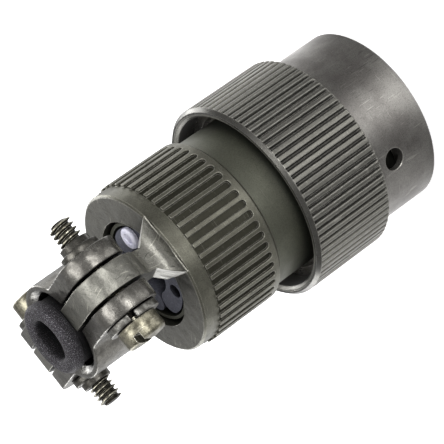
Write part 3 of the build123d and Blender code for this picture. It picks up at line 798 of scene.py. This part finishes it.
class Bench:
    """The hand operations that shape a piece, each on what is selected."""

    NEAR = 0.01 * MM

    @staticmethod
    def clear() -> None:
        """Leave edit mode and deselect everything."""
        if bpy.context.object is not None and bpy.context.object.mode != "OBJECT":
            bpy.ops.object.mode_set(mode="OBJECT")
        bpy.ops.object.select_all(action="DESELECT")

    @staticmethod
    def take(piece: bpy.types.Object) -> None:
        """Make a piece the only one selected and the active one."""
        Bench.clear()
        piece.select_set(True)
        bpy.context.view_layer.objects.active = piece

    @staticmethod
    def cylinder(name: str, radius: float, low: float, high: float,
                 sides: int = 64) -> bpy.types.Object:
        """Add a cylinder about the Z axis.

        Args:
            name: Name of the new object.
            radius: Radius of the cylinder.
            low: Height of its lower end.
            high: Height of its upper end.
            sides: How many sides it has.

        Returns:
            The new object, active and in object mode.
        """
        Bench.clear()
        bpy.ops.mesh.primitive_cylinder_add(vertices=sides, radius=radius, depth=high - low,
                                            location=(0, 0, (low + high) / 2))
        made = bpy.context.active_object
        made.name = name
        bpy.ops.object.transform_apply(location=True, rotation=True, scale=True)
        return made

    @staticmethod
    def pick(piece: bpy.types.Object, mode: str, wanted: Callable[[object], bool]) -> None:
        """Select the edges or faces that pass a test, in edit mode.

        Args:
            piece: Object to select on.
            mode: EDGE or FACE.
            wanted: Test that takes a mesh element and says whether it is wanted.
        """
        bpy.context.view_layer.objects.active = piece
        bpy.ops.object.mode_set(mode="EDIT")
        bpy.ops.mesh.select_mode(type=mode)
        bpy.ops.mesh.select_all(action="DESELECT")
        bpy.ops.object.mode_set(mode="OBJECT")
        for element in piece.data.edges if mode == "EDGE" else piece.data.polygons:
            element.select = bool(wanted(element))
        bpy.ops.object.mode_set(mode="EDIT")

    @staticmethod
    def pick_rim(piece: bpy.types.Object, height: float) -> None:
        """Select the edges that lie flat at a height, in edit mode.

        Args:
            piece: Object to select on.
            height: Height of the edges.
        """
        Bench.pick(piece, "EDGE", lambda edge: all(
            abs(piece.data.vertices[v].co.z - height) < Bench.NEAR for v in edge.vertices))

    @staticmethod
    def outline(name: str, points: list[tuple[float, float]],
                closed: bool = True) -> bpy.types.Object:
        """Draw an outline of (radius, height) points by pulling one vertex along it.

        Args:
            name: Name of the new object.
            points: The outline's corners, in order.
            closed: Whether the last corner joins the first.

        Returns:
            The new object, in edit mode with all its vertices selected.
        """
        Bench.clear()
        radius, height = points[0]
        bpy.ops.mesh.primitive_plane_add(size=MM, location=(radius, 0, height))
        made = bpy.context.active_object
        made.name = name
        bpy.ops.object.transform_apply(location=True, rotation=True, scale=True)
        bpy.ops.object.mode_set(mode="EDIT")
        bpy.ops.mesh.select_mode(type="VERT")
        bpy.ops.mesh.select_all(action="SELECT")
        bpy.ops.mesh.merge(type="CENTER")
        corners = points + points[:1] if closed else points
        for start, end in zip(corners, corners[1:]):
            step = (end[0] - start[0], 0, end[1] - start[1])
            bpy.ops.mesh.extrude_region_move(TRANSFORM_OT_translate={"value": step})
        bpy.ops.mesh.select_all(action="SELECT")
        if closed:
            bpy.ops.mesh.remove_doubles(threshold=MERGE)
        return made

    @staticmethod
    def lathe(piece: bpy.types.Object, steps: int = 96) -> None:
        """Turn the drawn outline once round the Z axis into a closed skin.

        Args:
            piece: Object whose outline is turned, in edit mode.
            steps: How many steps the turn has.
        """
        bpy.ops.mesh.spin(steps=steps, angle=TURN, center=(0, 0, 0), axis=(0, 0, 1))
        bpy.ops.mesh.select_all(action="SELECT")
        bpy.ops.mesh.remove_doubles(threshold=MERGE)
        bpy.ops.mesh.normals_make_consistent(inside=False)
        bpy.ops.object.mode_set(mode="OBJECT")
        Bench.smooth(piece)

    @staticmethod
    def wind(piece: bpy.types.Object, angle: float, rise: float, turns: int, steps: int,
             merge: bool = False) -> None:
        """Wind the drawn outline round the Z axis as it rises, and close its two ends.

        Args:
            piece: Object whose outline is wound, in edit mode.
            angle: Angle of one turn.
            rise: How far one turn rises.
            turns: How many turns there are.
            steps: How many steps a turn has.
            merge: Whether points that meet are merged.
        """
        bpy.ops.object.mode_set(mode="OBJECT")
        Bench.modify(piece, "SCREW", axis="Z", angle=angle, screw_offset=rise, iterations=turns,
                     steps=steps, render_steps=steps, use_merge_vertices=merge,
                     merge_threshold=MERGE)
        bpy.ops.object.mode_set(mode="EDIT")
        bpy.ops.mesh.select_all(action="SELECT")
        bpy.ops.mesh.fill_holes(sides=0)
        bpy.ops.mesh.select_all(action="SELECT")
        bpy.ops.mesh.normals_make_consistent(inside=False)
        bpy.ops.object.mode_set(mode="OBJECT")

    @staticmethod
    def smooth(piece: bpy.types.Object, angle: float = 35.0) -> None:
        """Shade a piece smoothly except over sharp edges.

        Args:
            piece: Object to shade.
            angle: Angle in degrees from which an edge stays sharp.
        """
        Bench.take(piece)
        bpy.ops.object.shade_smooth_by_angle(angle=math.radians(angle), keep_sharp_edges=True)

    @staticmethod
    def modify(piece: bpy.types.Object, kind: str, **settings: object) -> None:
        """Put a modifier on a piece and apply it.

        Args:
            piece: Object that is modified.
            kind: Blender's type name of the modifier.
            **settings: The modifier's properties.
        """
        Bench.take(piece)
        made = piece.modifiers.new(kind.lower(), kind)
        for name, value in settings.items():
            setattr(made, name, value)
        bpy.ops.object.modifier_apply(modifier=made.name)

    @staticmethod
    def weld(pieces: list[bpy.types.Object], name: str) -> bpy.types.Object:
        """Join several objects into one.

        Args:
            pieces: The objects, of which the first one stays.
            name: Name of the joined object.

        Returns:
            The joined object.
        """
        Bench.clear()
        for piece in pieces:
            piece.select_set(True)
        bpy.context.view_layer.objects.active = pieces[0]
        bpy.ops.object.join()
        joined = bpy.context.active_object
        joined.name = name
        return joined

    @staticmethod
    def put(piece: bpy.types.Object, place: Matrix) -> None:
        """Move a piece's mesh to its place and leave its object at the origin.

        Args:
            piece: Object to place.
            place: Where its own axes go.
        """
        piece.matrix_world = place
        Bench.take(piece)
        bpy.ops.object.transform_apply(location=True, rotation=True, scale=True)

    @staticmethod
    def mount(piece: bpy.types.Object, finish: bpy.types.Material, body: str, slot: str,
              *nodes: str) -> None:
        """Give a piece its material and body, and let it stand for CAD nodes.

        Args:
            piece: The finished piece.
            finish: Its material.
            body: Name of the body that it rides on.
            slot: The record's material slot for its finish; not used.
            *nodes: CAD nodes that it stands for.
        """
        piece.data.materials.clear()
        piece.data.materials.append(finish)
        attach(piece, body)
        if nodes:
            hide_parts(*nodes)
        REPORT.info("%s: %d faces on %s", piece.name, len(piece.data.polygons), body)


def arc(centre: tuple[float, float], radius: float, start: float, end: float,
        steps: int) -> list[tuple[float, float]]:
    """Give points on an arc in the (radius, height) plane.

    Args:
        centre: Centre of the arc.
        radius: Its radius.
        start: First angle in degrees.
        end: Last angle in degrees.
        steps: How many straight steps it has.

    Returns:
        The points from first to last.
    """
    angles = [math.radians(start + (end - start) * k / steps) for k in range(steps + 1)]
    return [(centre[0] + radius * math.cos(a), centre[1] + radius * math.sin(a)) for a in angles]


@dataclass(frozen=True)
class ScrewAxis:
    """The line that a clamp screw and its lock washer share."""

    side: ScrewSide
    y: float
    z: float

    def place(self) -> Matrix:
        """Give the place of a piece whose own +Z runs from the screw's tip to its head.

        Returns:
            The matrix that puts a piece made about +Z at its place.
        """
        turned = Matrix.Rotation(math.radians(90.0), 4, "Y")
        placed = Matrix.Translation((0, self.y, self.z)) @ turned
        if self.side is ScrewSide.MINUS_Y:
            placed = Matrix.Rotation(math.pi, 4, "Z") @ placed
        return placed


@dataclass
class ClampScrew:
    """One slotted clamp screw with its real thread."""

    axis: ScrewAxis
    node: str
    body: str
    head_low: float
    head_high: float
    tip: float
    head_radius: float
    thread_radius: float = 1.48 * MM
    pitch: float = 0.635 * MM
    thread_depth: float = 0.43 * MM
    thread_sink: float = 0.1 * MM
    crest_share: float = 0.14
    root_share: float = 0.78
    shank_sides: int = 40
    tip_break: float = 0.2 * MM
    plain_neck: float = 0.5 * MM
    neck_inset: float = 0.02 * MM
    neck_sink: float = 0.1 * MM
    head_round: float = 0.45 * MM
    head_dome: float = 0.16 * MM
    dome_insets: tuple[float, ...] = (0.21, 0.18, 0.3)
    slot_width: float = 0.85 * MM
    slot_depth: float = 1.15 * MM
    slot_angle: float = 132.0
    crease: float = 40.0

    @property
    def root(self) -> float:
        """Give the radius of the core under the thread."""
        return self.thread_radius - self.thread_depth

    def head(self) -> bpy.types.Object:
        """Shape the fillister head: rounded rim, low dome and slot.

        Returns:
            The head, made about the Z axis.
        """
        top = self.head_high - self.head_dome
        made = Bench.cylinder(self.node + "_head", self.head_radius, self.head_low, top)
        Bench.pick_rim(made, top)
        bpy.ops.mesh.bevel(offset=self.head_round, segments=4, profile=0.5)
        bpy.ops.object.mode_set(mode="OBJECT")
        Bench.pick(made, "FACE", lambda face: face.normal.z > 0.99)
        for inset in self.dome_insets:
            bpy.ops.mesh.inset(thickness=inset * (self.head_radius - self.head_round))
            bpy.ops.transform.translate(value=(0, 0, self.head_dome / len(self.dome_insets)))
        bpy.ops.object.mode_set(mode="OBJECT")
        Bench.clear()
        bpy.ops.mesh.primitive_cube_add(size=1, location=(0, 0, self.head_high))
        blade = bpy.context.active_object
        blade.scale = (3 * self.head_radius, self.slot_width, 2 * self.slot_depth)
        blade.rotation_euler = (0, 0, math.radians(self.slot_angle))
        bpy.ops.object.transform_apply(location=True, rotation=True, scale=True)
        Bench.modify(made, "BOOLEAN", operation="DIFFERENCE", object=blade, solver="EXACT")
        bpy.data.objects.remove(blade)
        return made

    def thread(self) -> bpy.types.Object:
        """Wind a V-shaped ridge along the shank.

        Returns:
            The ridge, made about the Z axis.
        """
        half_root = self.pitch * self.root_share / 2
        half_crest = self.pitch * self.crest_share / 2
        foot = self.root - self.thread_sink
        start = self.tip + half_root
        made = Bench.outline(self.node + "_thread", [
            (foot, start - half_root), (self.thread_radius, start - half_crest),
            (self.thread_radius, start + half_crest), (foot, start + half_root)])
        turns = math.floor((self.head_low - self.plain_neck - self.tip) / self.pitch) - 1
        Bench.wind(made, TURN, self.pitch, turns, self.shank_sides, merge=True)
        return made

    def shank(self) -> bpy.types.Object:
        """Turn the core that the thread is wound on, with its chamfered tip.

        Returns:
            The shank, made about the Z axis.
        """
        made = Bench.cylinder(self.node + "_shank", self.root, self.tip, self.head_low,
                              self.shank_sides)
        Bench.pick_rim(made, self.tip)
        bpy.ops.mesh.bevel(offset=self.tip_break, segments=2)
        bpy.ops.object.mode_set(mode="OBJECT")
        neck = Bench.cylinder(self.node + "_neck", self.thread_radius - self.neck_inset,
                              self.head_low - self.plain_neck, self.head_low + self.neck_sink,
                              self.shank_sides)
        return Bench.weld([made, neck], self.node + "_shank")

    def build(self, finishes: Finishes) -> None:
        """Build the screw at its place, as a head piece and a thread piece.

        Args:
            finishes: The plug's materials.
        """
        shank = Bench.weld([self.shank(), self.thread()], self.node + "_threaded_shank")
        head = self.head()
        for piece in (shank, head):
            Bench.smooth(piece, self.crease)
            Bench.put(piece, self.axis.place())
        Bench.mount(head, finishes.screw, self.body, "screw", self.node)
        Bench.mount(shank, finishes.thread, self.body, "screw")


@dataclass
class LockWasher:
    """One split lock washer, sprung open at its cut."""

    axis: ScrewAxis
    node: str
    body: str
    low: float
    high: float
    outer_radius: float
    inner_radius: float
    cut_angle: float = 110.0
    cut_width: float = 14.0
    spring: float = 0.1 * MM
    edge_round: float = 0.09 * MM
    crease: float = 50.0
    steps: int = 72

    def build(self, finishes: Finishes) -> None:
        """Wind the washer's square section round, offset at its ends, and place it.

        Args:
            finishes: The plug's materials.
        """
        top = self.high - self.spring
        made = Bench.outline(self.node + "_split", [
            (self.inner_radius, self.low), (self.outer_radius, self.low),
            (self.outer_radius, top), (self.inner_radius, top)])
        Bench.wind(made, TURN - math.radians(self.cut_width), self.spring, 1, self.steps)
        Bench.modify(made, "BEVEL", width=self.edge_round, segments=2, limit_method="ANGLE",
                     angle_limit=math.radians(self.crease))
        Bench.smooth(made, self.crease)
        turn = math.radians(self.cut_angle + self.cut_width / 2)
        Bench.put(made, self.axis.place() @ Matrix.Rotation(turn, 4, "Z"))
        Bench.mount(made, finishes.washer, self.body, "steel", self.node)


@dataclass
class Bushing:
    """The rubber bushing round the cable, with a rolled rim that stands wider above the arms."""

    node: str
    body: str
    low: float
    high: float
    outer_radius: float
    bore_radius: float
    lip_low: float
    lip: float = 0.3 * MM
    lip_slope: tuple[float, float] = (0.8, 0.5)
    rim: float = 0.75 * MM
    rim_steps: int = 6
    foot: float = 0.3 * MM
    foot_steps: int = 4

    def build(self, finishes: Finishes) -> None:
        """Turn the bushing and give it its rubber.

        Args:
            finishes: The plug's materials.
        """
        outer = (self.outer_radius + self.lip - self.rim, self.high - self.rim)
        inner = (self.bore_radius + self.rim, self.high - self.rim)
        lower_outer = (self.outer_radius - self.foot, self.low + self.foot)
        lower_inner = (self.bore_radius + self.foot, self.low + self.foot)
        out, up = self.lip_slope
        points = arc(lower_inner, self.foot, 180.0, 270.0, self.foot_steps)
        points += arc(lower_outer, self.foot, 270.0, 360.0, self.foot_steps)
        points += [(self.outer_radius, self.lip_low),
                   (self.outer_radius + out * self.lip, self.lip_low + up * self.lip)]
        points += arc(outer, self.rim, 0.0, 90.0, self.rim_steps)
        points += arc(inner, self.rim, 90.0, 180.0, self.rim_steps)
        made = Bench.outline(self.node + "_moulded", points)
        Bench.lathe(made)
        Bench.mount(made, finishes.rubber, self.body, "rubber", self.node)


@dataclass
class SealingPlug:
    """The pale plug that closes a wire hole, with a dished, rolled head."""

    node: str
    body: str
    head_radius: float = 1.4 * MM
    head_height: float = 0.62 * MM
    head_round: float = 0.3 * MM
    head_under: float = 0.02 * MM
    stem_inset: float = 0.45 * MM
    stem_break: float = 0.15 * MM
    dish_radius: float = 0.75 * MM
    dish_depth: float = 0.22 * MM
    dish_slope: float = 0.12 * MM
    dish_lip: float = 0.03 * MM
    steps: int = 48

    def build(self, finishes: Finishes) -> None:
        """Turn the plug and stand it in its hole.

        Args:
            finishes: The plug's materials.
        """
        low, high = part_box(self.node)
        middle = (low + high) / 2
        stem = self.head_radius - self.stem_inset
        seat = high.z - self.head_height
        brow = (self.head_radius - self.head_round, high.z - self.head_round)
        floor = high.z - self.dish_depth
        points = [(0.0, low.z), (stem - self.stem_break, low.z), (stem, low.z + self.stem_break),
                  (stem, seat), (self.head_radius, seat + self.head_under)]
        points += arc(brow, self.head_round, 0.0, 90.0, 5)
        points += [(self.dish_radius, high.z - self.dish_lip),
                   (self.dish_radius - self.dish_slope, floor), (0.0, floor)]
        made = Bench.outline(self.node + "_moulded", points, closed=False)
        Bench.lathe(made, self.steps)
        Bench.put(made, Matrix.Translation((middle.x, middle.y, 0)))
        Bench.mount(made, finishes.plug, self.body, "plug", self.node)


@dataclass
class RimBand:
    """The smooth chamfered band behind the coupling ring's ribs."""

    body: str
    rear: float
    outer_radius: float = 13.09 * MM
    rear_radius: float = 12.665 * MM
    seat_radius: float = 12.4 * MM
    seat_depth: float = 0.2 * MM
    land: float = 0.04 * MM
    chamfer: float = 0.43 * MM
    proud: float = 0.015 * MM
    steps: int = 160

    def build(self, finishes: Finishes) -> None:
        """Turn the band and give it its finish.

        Args:
            finishes: The plug's materials.
        """
        front = self.rear - self.chamfer
        made = Bench.outline("ring_rear_rim", [
            (self.seat_radius, front - self.seat_depth), (self.outer_radius, front - self.land),
            (self.outer_radius, front), (self.rear_radius, self.rear + self.proud),
            (self.seat_radius, self.rear + self.proud)])
        Bench.lathe(made, self.steps)
        Bench.mount(made, finishes.rim, self.body, "body")


@dataclass
class SoftCasting:
    """A CAD node's copy, merged and given the rounded edges of a tumbled piece."""

    node: str
    body: str
    slot: str
    edge: float = 0.14 * MM
    segments: int = 2
    merge: float = 0.001 * MM
    flat: float = 0.5
    crease: float = 28.0
    smooth: float = 40.0

    def build(self, finish: bpy.types.Material) -> bpy.types.Object:
        """Copy the node's mesh, round its edges and give it a material.

        Args:
            finish: The material of the piece.

        Returns:
            The rounded piece.
        """
        Bench.take(frame["nodes"][self.node])
        bpy.ops.object.duplicate(linked=False)
        made = bpy.context.active_object
        made.name = self.node + "_rounded"
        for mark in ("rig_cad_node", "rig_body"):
            del made[mark]
        made.parent = None
        bpy.ops.object.mode_set(mode="EDIT")
        bpy.ops.mesh.select_all(action="SELECT")
        bpy.ops.mesh.remove_doubles(threshold=self.merge)
        bpy.ops.mesh.dissolve_limited(angle_limit=math.radians(self.flat))
        bpy.ops.object.mode_set(mode="OBJECT")
        Bench.modify(made, "BEVEL", width=self.edge, segments=self.segments, limit_method="ANGLE",
                     angle_limit=math.radians(self.crease), use_clamp_overlap=True)
        Bench.smooth(made, self.smooth)
        Bench.mount(made, finish, self.body, self.slot, self.node)
        return made


@dataclass(frozen=True)
class Lamp:
    """One soft box lamp, aimed at the middle of the plug."""

    name: str
    bearing: float
    distance: float
    rise: float
    width: float
    height: float
    power: float

    def place(self) -> Vector:
        """Give the lamp's place, from its bearing round the plug and its height."""
        turn = math.radians(self.bearing)
        return Vector((self.distance * math.cos(turn), self.distance * math.sin(turn), self.rise))

    def hang(self, aim: Vector) -> None:
        """Hang the lamp and aim it.

        Args:
            aim: The point that it faces.
        """
        data = bpy.data.lights.new(self.name, "AREA")
        data.shape = "RECTANGLE"
        data.size = self.width
        data.size_y = self.height
        data.energy = self.power
        made = bpy.data.objects.new(self.name, data)
        bpy.context.scene.collection.objects.link(made)
        facing = (aim - self.place()).to_track_quat("-Z", "Y")
        made.matrix_world = Matrix.Translation(self.place()) @ facing.to_matrix().to_4x4()


@dataclass(frozen=True)
class Sheen:
    """One bright patch of the floor, which glows only in metal's reflections: a painted
    reflection.
    """

    bearing: float
    narrowness: float
    strength: float


@dataclass
class Studio:
    """Pale floor, white surroundings, soft lamps and the camera."""

    camera_place: Point = (0.0318338, 0.2382037, 0.143439)
    camera_right: Point = (0.62196, 0.28121, -0.73081)
    camera_down: Point = (0.77418, -0.36092, 0.51999)
    lens: float = 181.92
    sensor: float = 36.0
    clip: Span = (0.01, 10.0)
    floor_half: float = 2.0
    floor_tone: Colour = tone(235, 235, 235)
    floor_lift: float = 0.6
    sheen_base: float = 0.28
    sheens: tuple[Sheen, ...] = (
        Sheen(bearing=83.0, narrowness=18.0, strength=2.1),
        Sheen(bearing=195.0, narrowness=6.0, strength=1.75),
        Sheen(bearing=-32.0, narrowness=2.2, strength=1.35),
    )
    sky_heights: Span = (-0.6, 0.9)
    sky_levels: Span = (0.25, 0.75)
    middle_height: float = 0.026
    lamps: tuple[Lamp, ...] = (
        Lamp("front", bearing=87.0, distance=0.42, rise=0.10, width=0.34, height=0.16, power=1.6),
        Lamp("left_rim", bearing=222.0, distance=0.42, rise=0.10, width=0.30, height=0.16,
             power=1.2),
        Lamp("right_rim", bearing=-58.0, distance=0.42, rise=0.10, width=0.26, height=0.16,
             power=0.8),
        Lamp("top", bearing=130.0, distance=0.12, rise=0.45, width=0.30, height=0.30, power=1.5),
    )

    def camera(self) -> None:
        """Set up the camera at the photograph's angle."""
        right = Vector(self.camera_right)
        up = -Vector(self.camera_down)
        back = right.cross(up)
        data = bpy.data.cameras.new("camera")
        data.lens = self.lens
        data.sensor_width = self.sensor
        data.clip_start, data.clip_end = self.clip
        camera = bpy.data.objects.new("camera", data)
        bpy.context.scene.collection.objects.link(camera)
        turned = Matrix((right, up, back)).transposed().to_4x4()
        camera.matrix_world = Matrix.Translation(self.camera_place) @ turned
        bpy.context.scene.camera = camera

    def sheen(self, graph: Graph) -> Socket:
        """Give the floor's glow in metal's reflections, a painted reflection, by the bearing of
        each point.

        Args:
            graph: The floor's node tree.

        Returns:
            The level.
        """
        x, y, _ = graph.split(graph.place())
        bearing = graph.maths("ARCTAN2", y, x)
        level: object = self.sheen_base
        for sheen in self.sheens:
            off = graph.maths("SUBTRACT", bearing, math.radians(sheen.bearing))
            off = graph.maths("MAXIMUM", graph.maths("COSINE", off), 0.0)
            patch = graph.maths("POWER", off, sheen.narrowness)
            level = graph.maths("MULTIPLY_ADD", patch, sheen.strength, level)
        return level

    def floor(self) -> None:
        """Lay a plain pale floor that looks white and keeps the plug's shadow; to metal it glows
        in patches, a painted reflection.
        """
        Bench.clear()
        bpy.ops.mesh.primitive_plane_add(size=2 * self.floor_half, location=(0, 0, 0))
        made = bpy.context.active_object
        made.name = "floor"
        graph = Graph.of_material("floor_white")
        path = graph.node("LightPath", {})
        matt = graph.node("BsdfDiffuse", {"Color": self.floor_tone}).outputs[0]
        lift = graph.maths("MULTIPLY", path.outputs["Is Camera Ray"], self.floor_lift)
        glow = graph.node("Emission", {"Color": WHITE, "Strength": lift}).outputs[0]
        seen = graph.node("AddShader", {0: matt, 1: glow}).outputs[0]
        # Seen by reflections only: the floor glows in patches, a painted reflection of soft boxes.
        painted_reflection = graph.node("Emission", {"Color": WHITE, "Strength": self.sheen(graph)})
        both = graph.node("MixShader", {0: path.outputs["Is Glossy Ray"], 1: seen,
                                        2: painted_reflection.outputs[0]})
        graph.close(both.outputs[0])
        made.data.materials.append(graph.owner)

    def surroundings(self) -> None:
        """Make the world white to the eye, and graded where metal reflects it."""
        graph = Graph(bpy.data.worlds.new("surroundings"), "OutputWorld")
        height = graph.split(graph.node("TexCoord", {}).outputs["Generated"])[2]
        low, high = self.sky_heights
        dim, bright = self.sky_levels
        grade = graph.node("MapRange", {0: height, 1: low, 2: high, 3: dim, 4: bright})
        seen = graph.node("LightPath", {}).outputs["Is Camera Ray"]
        level = graph.node("Mix", {0: seen, 2: grade.outputs[0], 3: 1.0})
        sky = graph.node("Background", {"Color": WHITE, "Strength": level.outputs[0]})
        graph.close(sky.outputs[0])
        bpy.context.scene.world = graph.owner

    def build(self) -> None:
        """Build the whole studio."""
        bpy.context.scene.view_settings.view_transform = "Standard"
        self.camera()
        self.floor()
        self.surroundings()
        for lamp in self.lamps:
            lamp.hang(Vector((0, 0, self.middle_height)))


class Plug:
    """The whole plug: its pieces in order, with sizes read from the frame."""

    ARM_LENGTH = 12.7 * MM
    BUSHING_BORE = 2.6 * MM
    BUSHING_LIP_GAP = 0.1 * MM
    WASHER_BORE = 1.57 * MM
    FACE_GAP = 0.05 * MM
    CLINCH_EDGE = 0.1 * MM
    SPRING_EDGE = 0.05 * MM

    def __init__(self) -> None:
        """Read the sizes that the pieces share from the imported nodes."""
        self.screw_low, self.screw_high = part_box("clamp_screw_b")
        self.washer_low, self.washer_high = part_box("lock_washer_b")
        self.screw_y = (self.screw_low.y + self.screw_high.y) / 2
        self.screw_z = (self.screw_low.z + self.screw_high.z) / 2
        self.arm_end_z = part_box("back_nut")[1].z
        self.ring_rear_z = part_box("coupling_ring")[1].z
        self.finishes = Finishes(self.screw_y, self.screw_z, self.arm_end_z - self.ARM_LENGTH)

    def dress_nodes(self) -> None:
        """Give every CAD node its own material."""
        finishes = self.finishes
        looks = {
            "shell": finishes.shell, "coupling_ring": finishes.ring, "back_nut": finishes.nut,
            "grommet_follower": finishes.shell, "insert": finishes.insulator,
            "peripheral_seal": finishes.rubber, "bushing": finishes.rubber,
            "grommet": finishes.grommet, "sealing_plug": finishes.plug,
            "wave_washer": finishes.steel, "thrust_washer": finishes.steel,
            "retaining_ring": finishes.steel,
        }
        for letter in "ab":
            looks["saddle_" + letter] = finishes.casting
            looks["clinch_nut_" + letter] = finishes.clinch
            looks["clamp_screw_" + letter] = finishes.screw
            looks["lock_washer_" + letter] = finishes.washer
        for number in "123":
            looks["contact_" + number] = finishes.contact
        for name, node in frame["nodes"].items():
            node.data.materials.clear()
            node.data.materials.append(looks[name])
            REPORT.info("%s: dressed in %s", name, looks[name].name)

    def build_clamp(self) -> None:
        """Build the screws, washers, saddles, clinch nuts and bushing of the cable clamp."""
        finishes = self.finishes
        for side, letter in ((ScrewSide.PLUS_Y, "b"), (ScrewSide.MINUS_Y, "a")):
            axis = ScrewAxis(side, self.screw_y, self.screw_z)
            clamp = "clamp_" + letter
            ClampScrew(axis, "clamp_screw_" + letter, "screw_" + letter,
                       head_low=self.washer_high.x + self.FACE_GAP, head_high=self.screw_high.x,
                       tip=self.screw_low.x,
                       head_radius=(self.screw_high.z - self.screw_low.z) / 2).build(finishes)
            LockWasher(axis, "lock_washer_" + letter, clamp, low=self.washer_low.x,
                       high=self.washer_high.x,
                       outer_radius=(self.washer_high.z - self.washer_low.z) / 2,
                       inner_radius=self.WASHER_BORE).build(finishes)
            SoftCasting("saddle_" + letter, clamp, "body").build(finishes.casting)
            SoftCasting("clinch_nut_" + letter, clamp, "body",
                        edge=self.CLINCH_EDGE).build(finishes.clinch)
        low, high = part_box("bushing")
        Bushing("bushing", "nut", low=low.z, high=high.z, outer_radius=high.x,
                bore_radius=self.BUSHING_BORE,
                lip_low=self.arm_end_z + self.BUSHING_LIP_GAP).build(finishes)

    def build_spring(self) -> None:
        """Replace the wave washer with a rounded copy that rides on the plug shell and has a mesh
        of its own.
        """
        spring = SoftCasting("wave_washer", "plug_shell", "steel",
                             edge=self.SPRING_EDGE).build(self.finishes.steel)
        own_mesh(spring)

    def build(self) -> None:
        """Build and dress the whole plug."""
        self.dress_nodes()
        RimBand("coupling", self.ring_rear_z).build(self.finishes)
        SealingPlug("sealing_plug", "plug_shell").build(self.finishes)
        self.build_clamp()
        self.build_spring()


def main() -> None:
    """Build the plug and the studio."""
    logging.basicConfig(level=logging.INFO, format="%(name)s: %(message)s")
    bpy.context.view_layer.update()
    Plug().build()
    Studio().build()


if __name__ == "__main__":
    main()
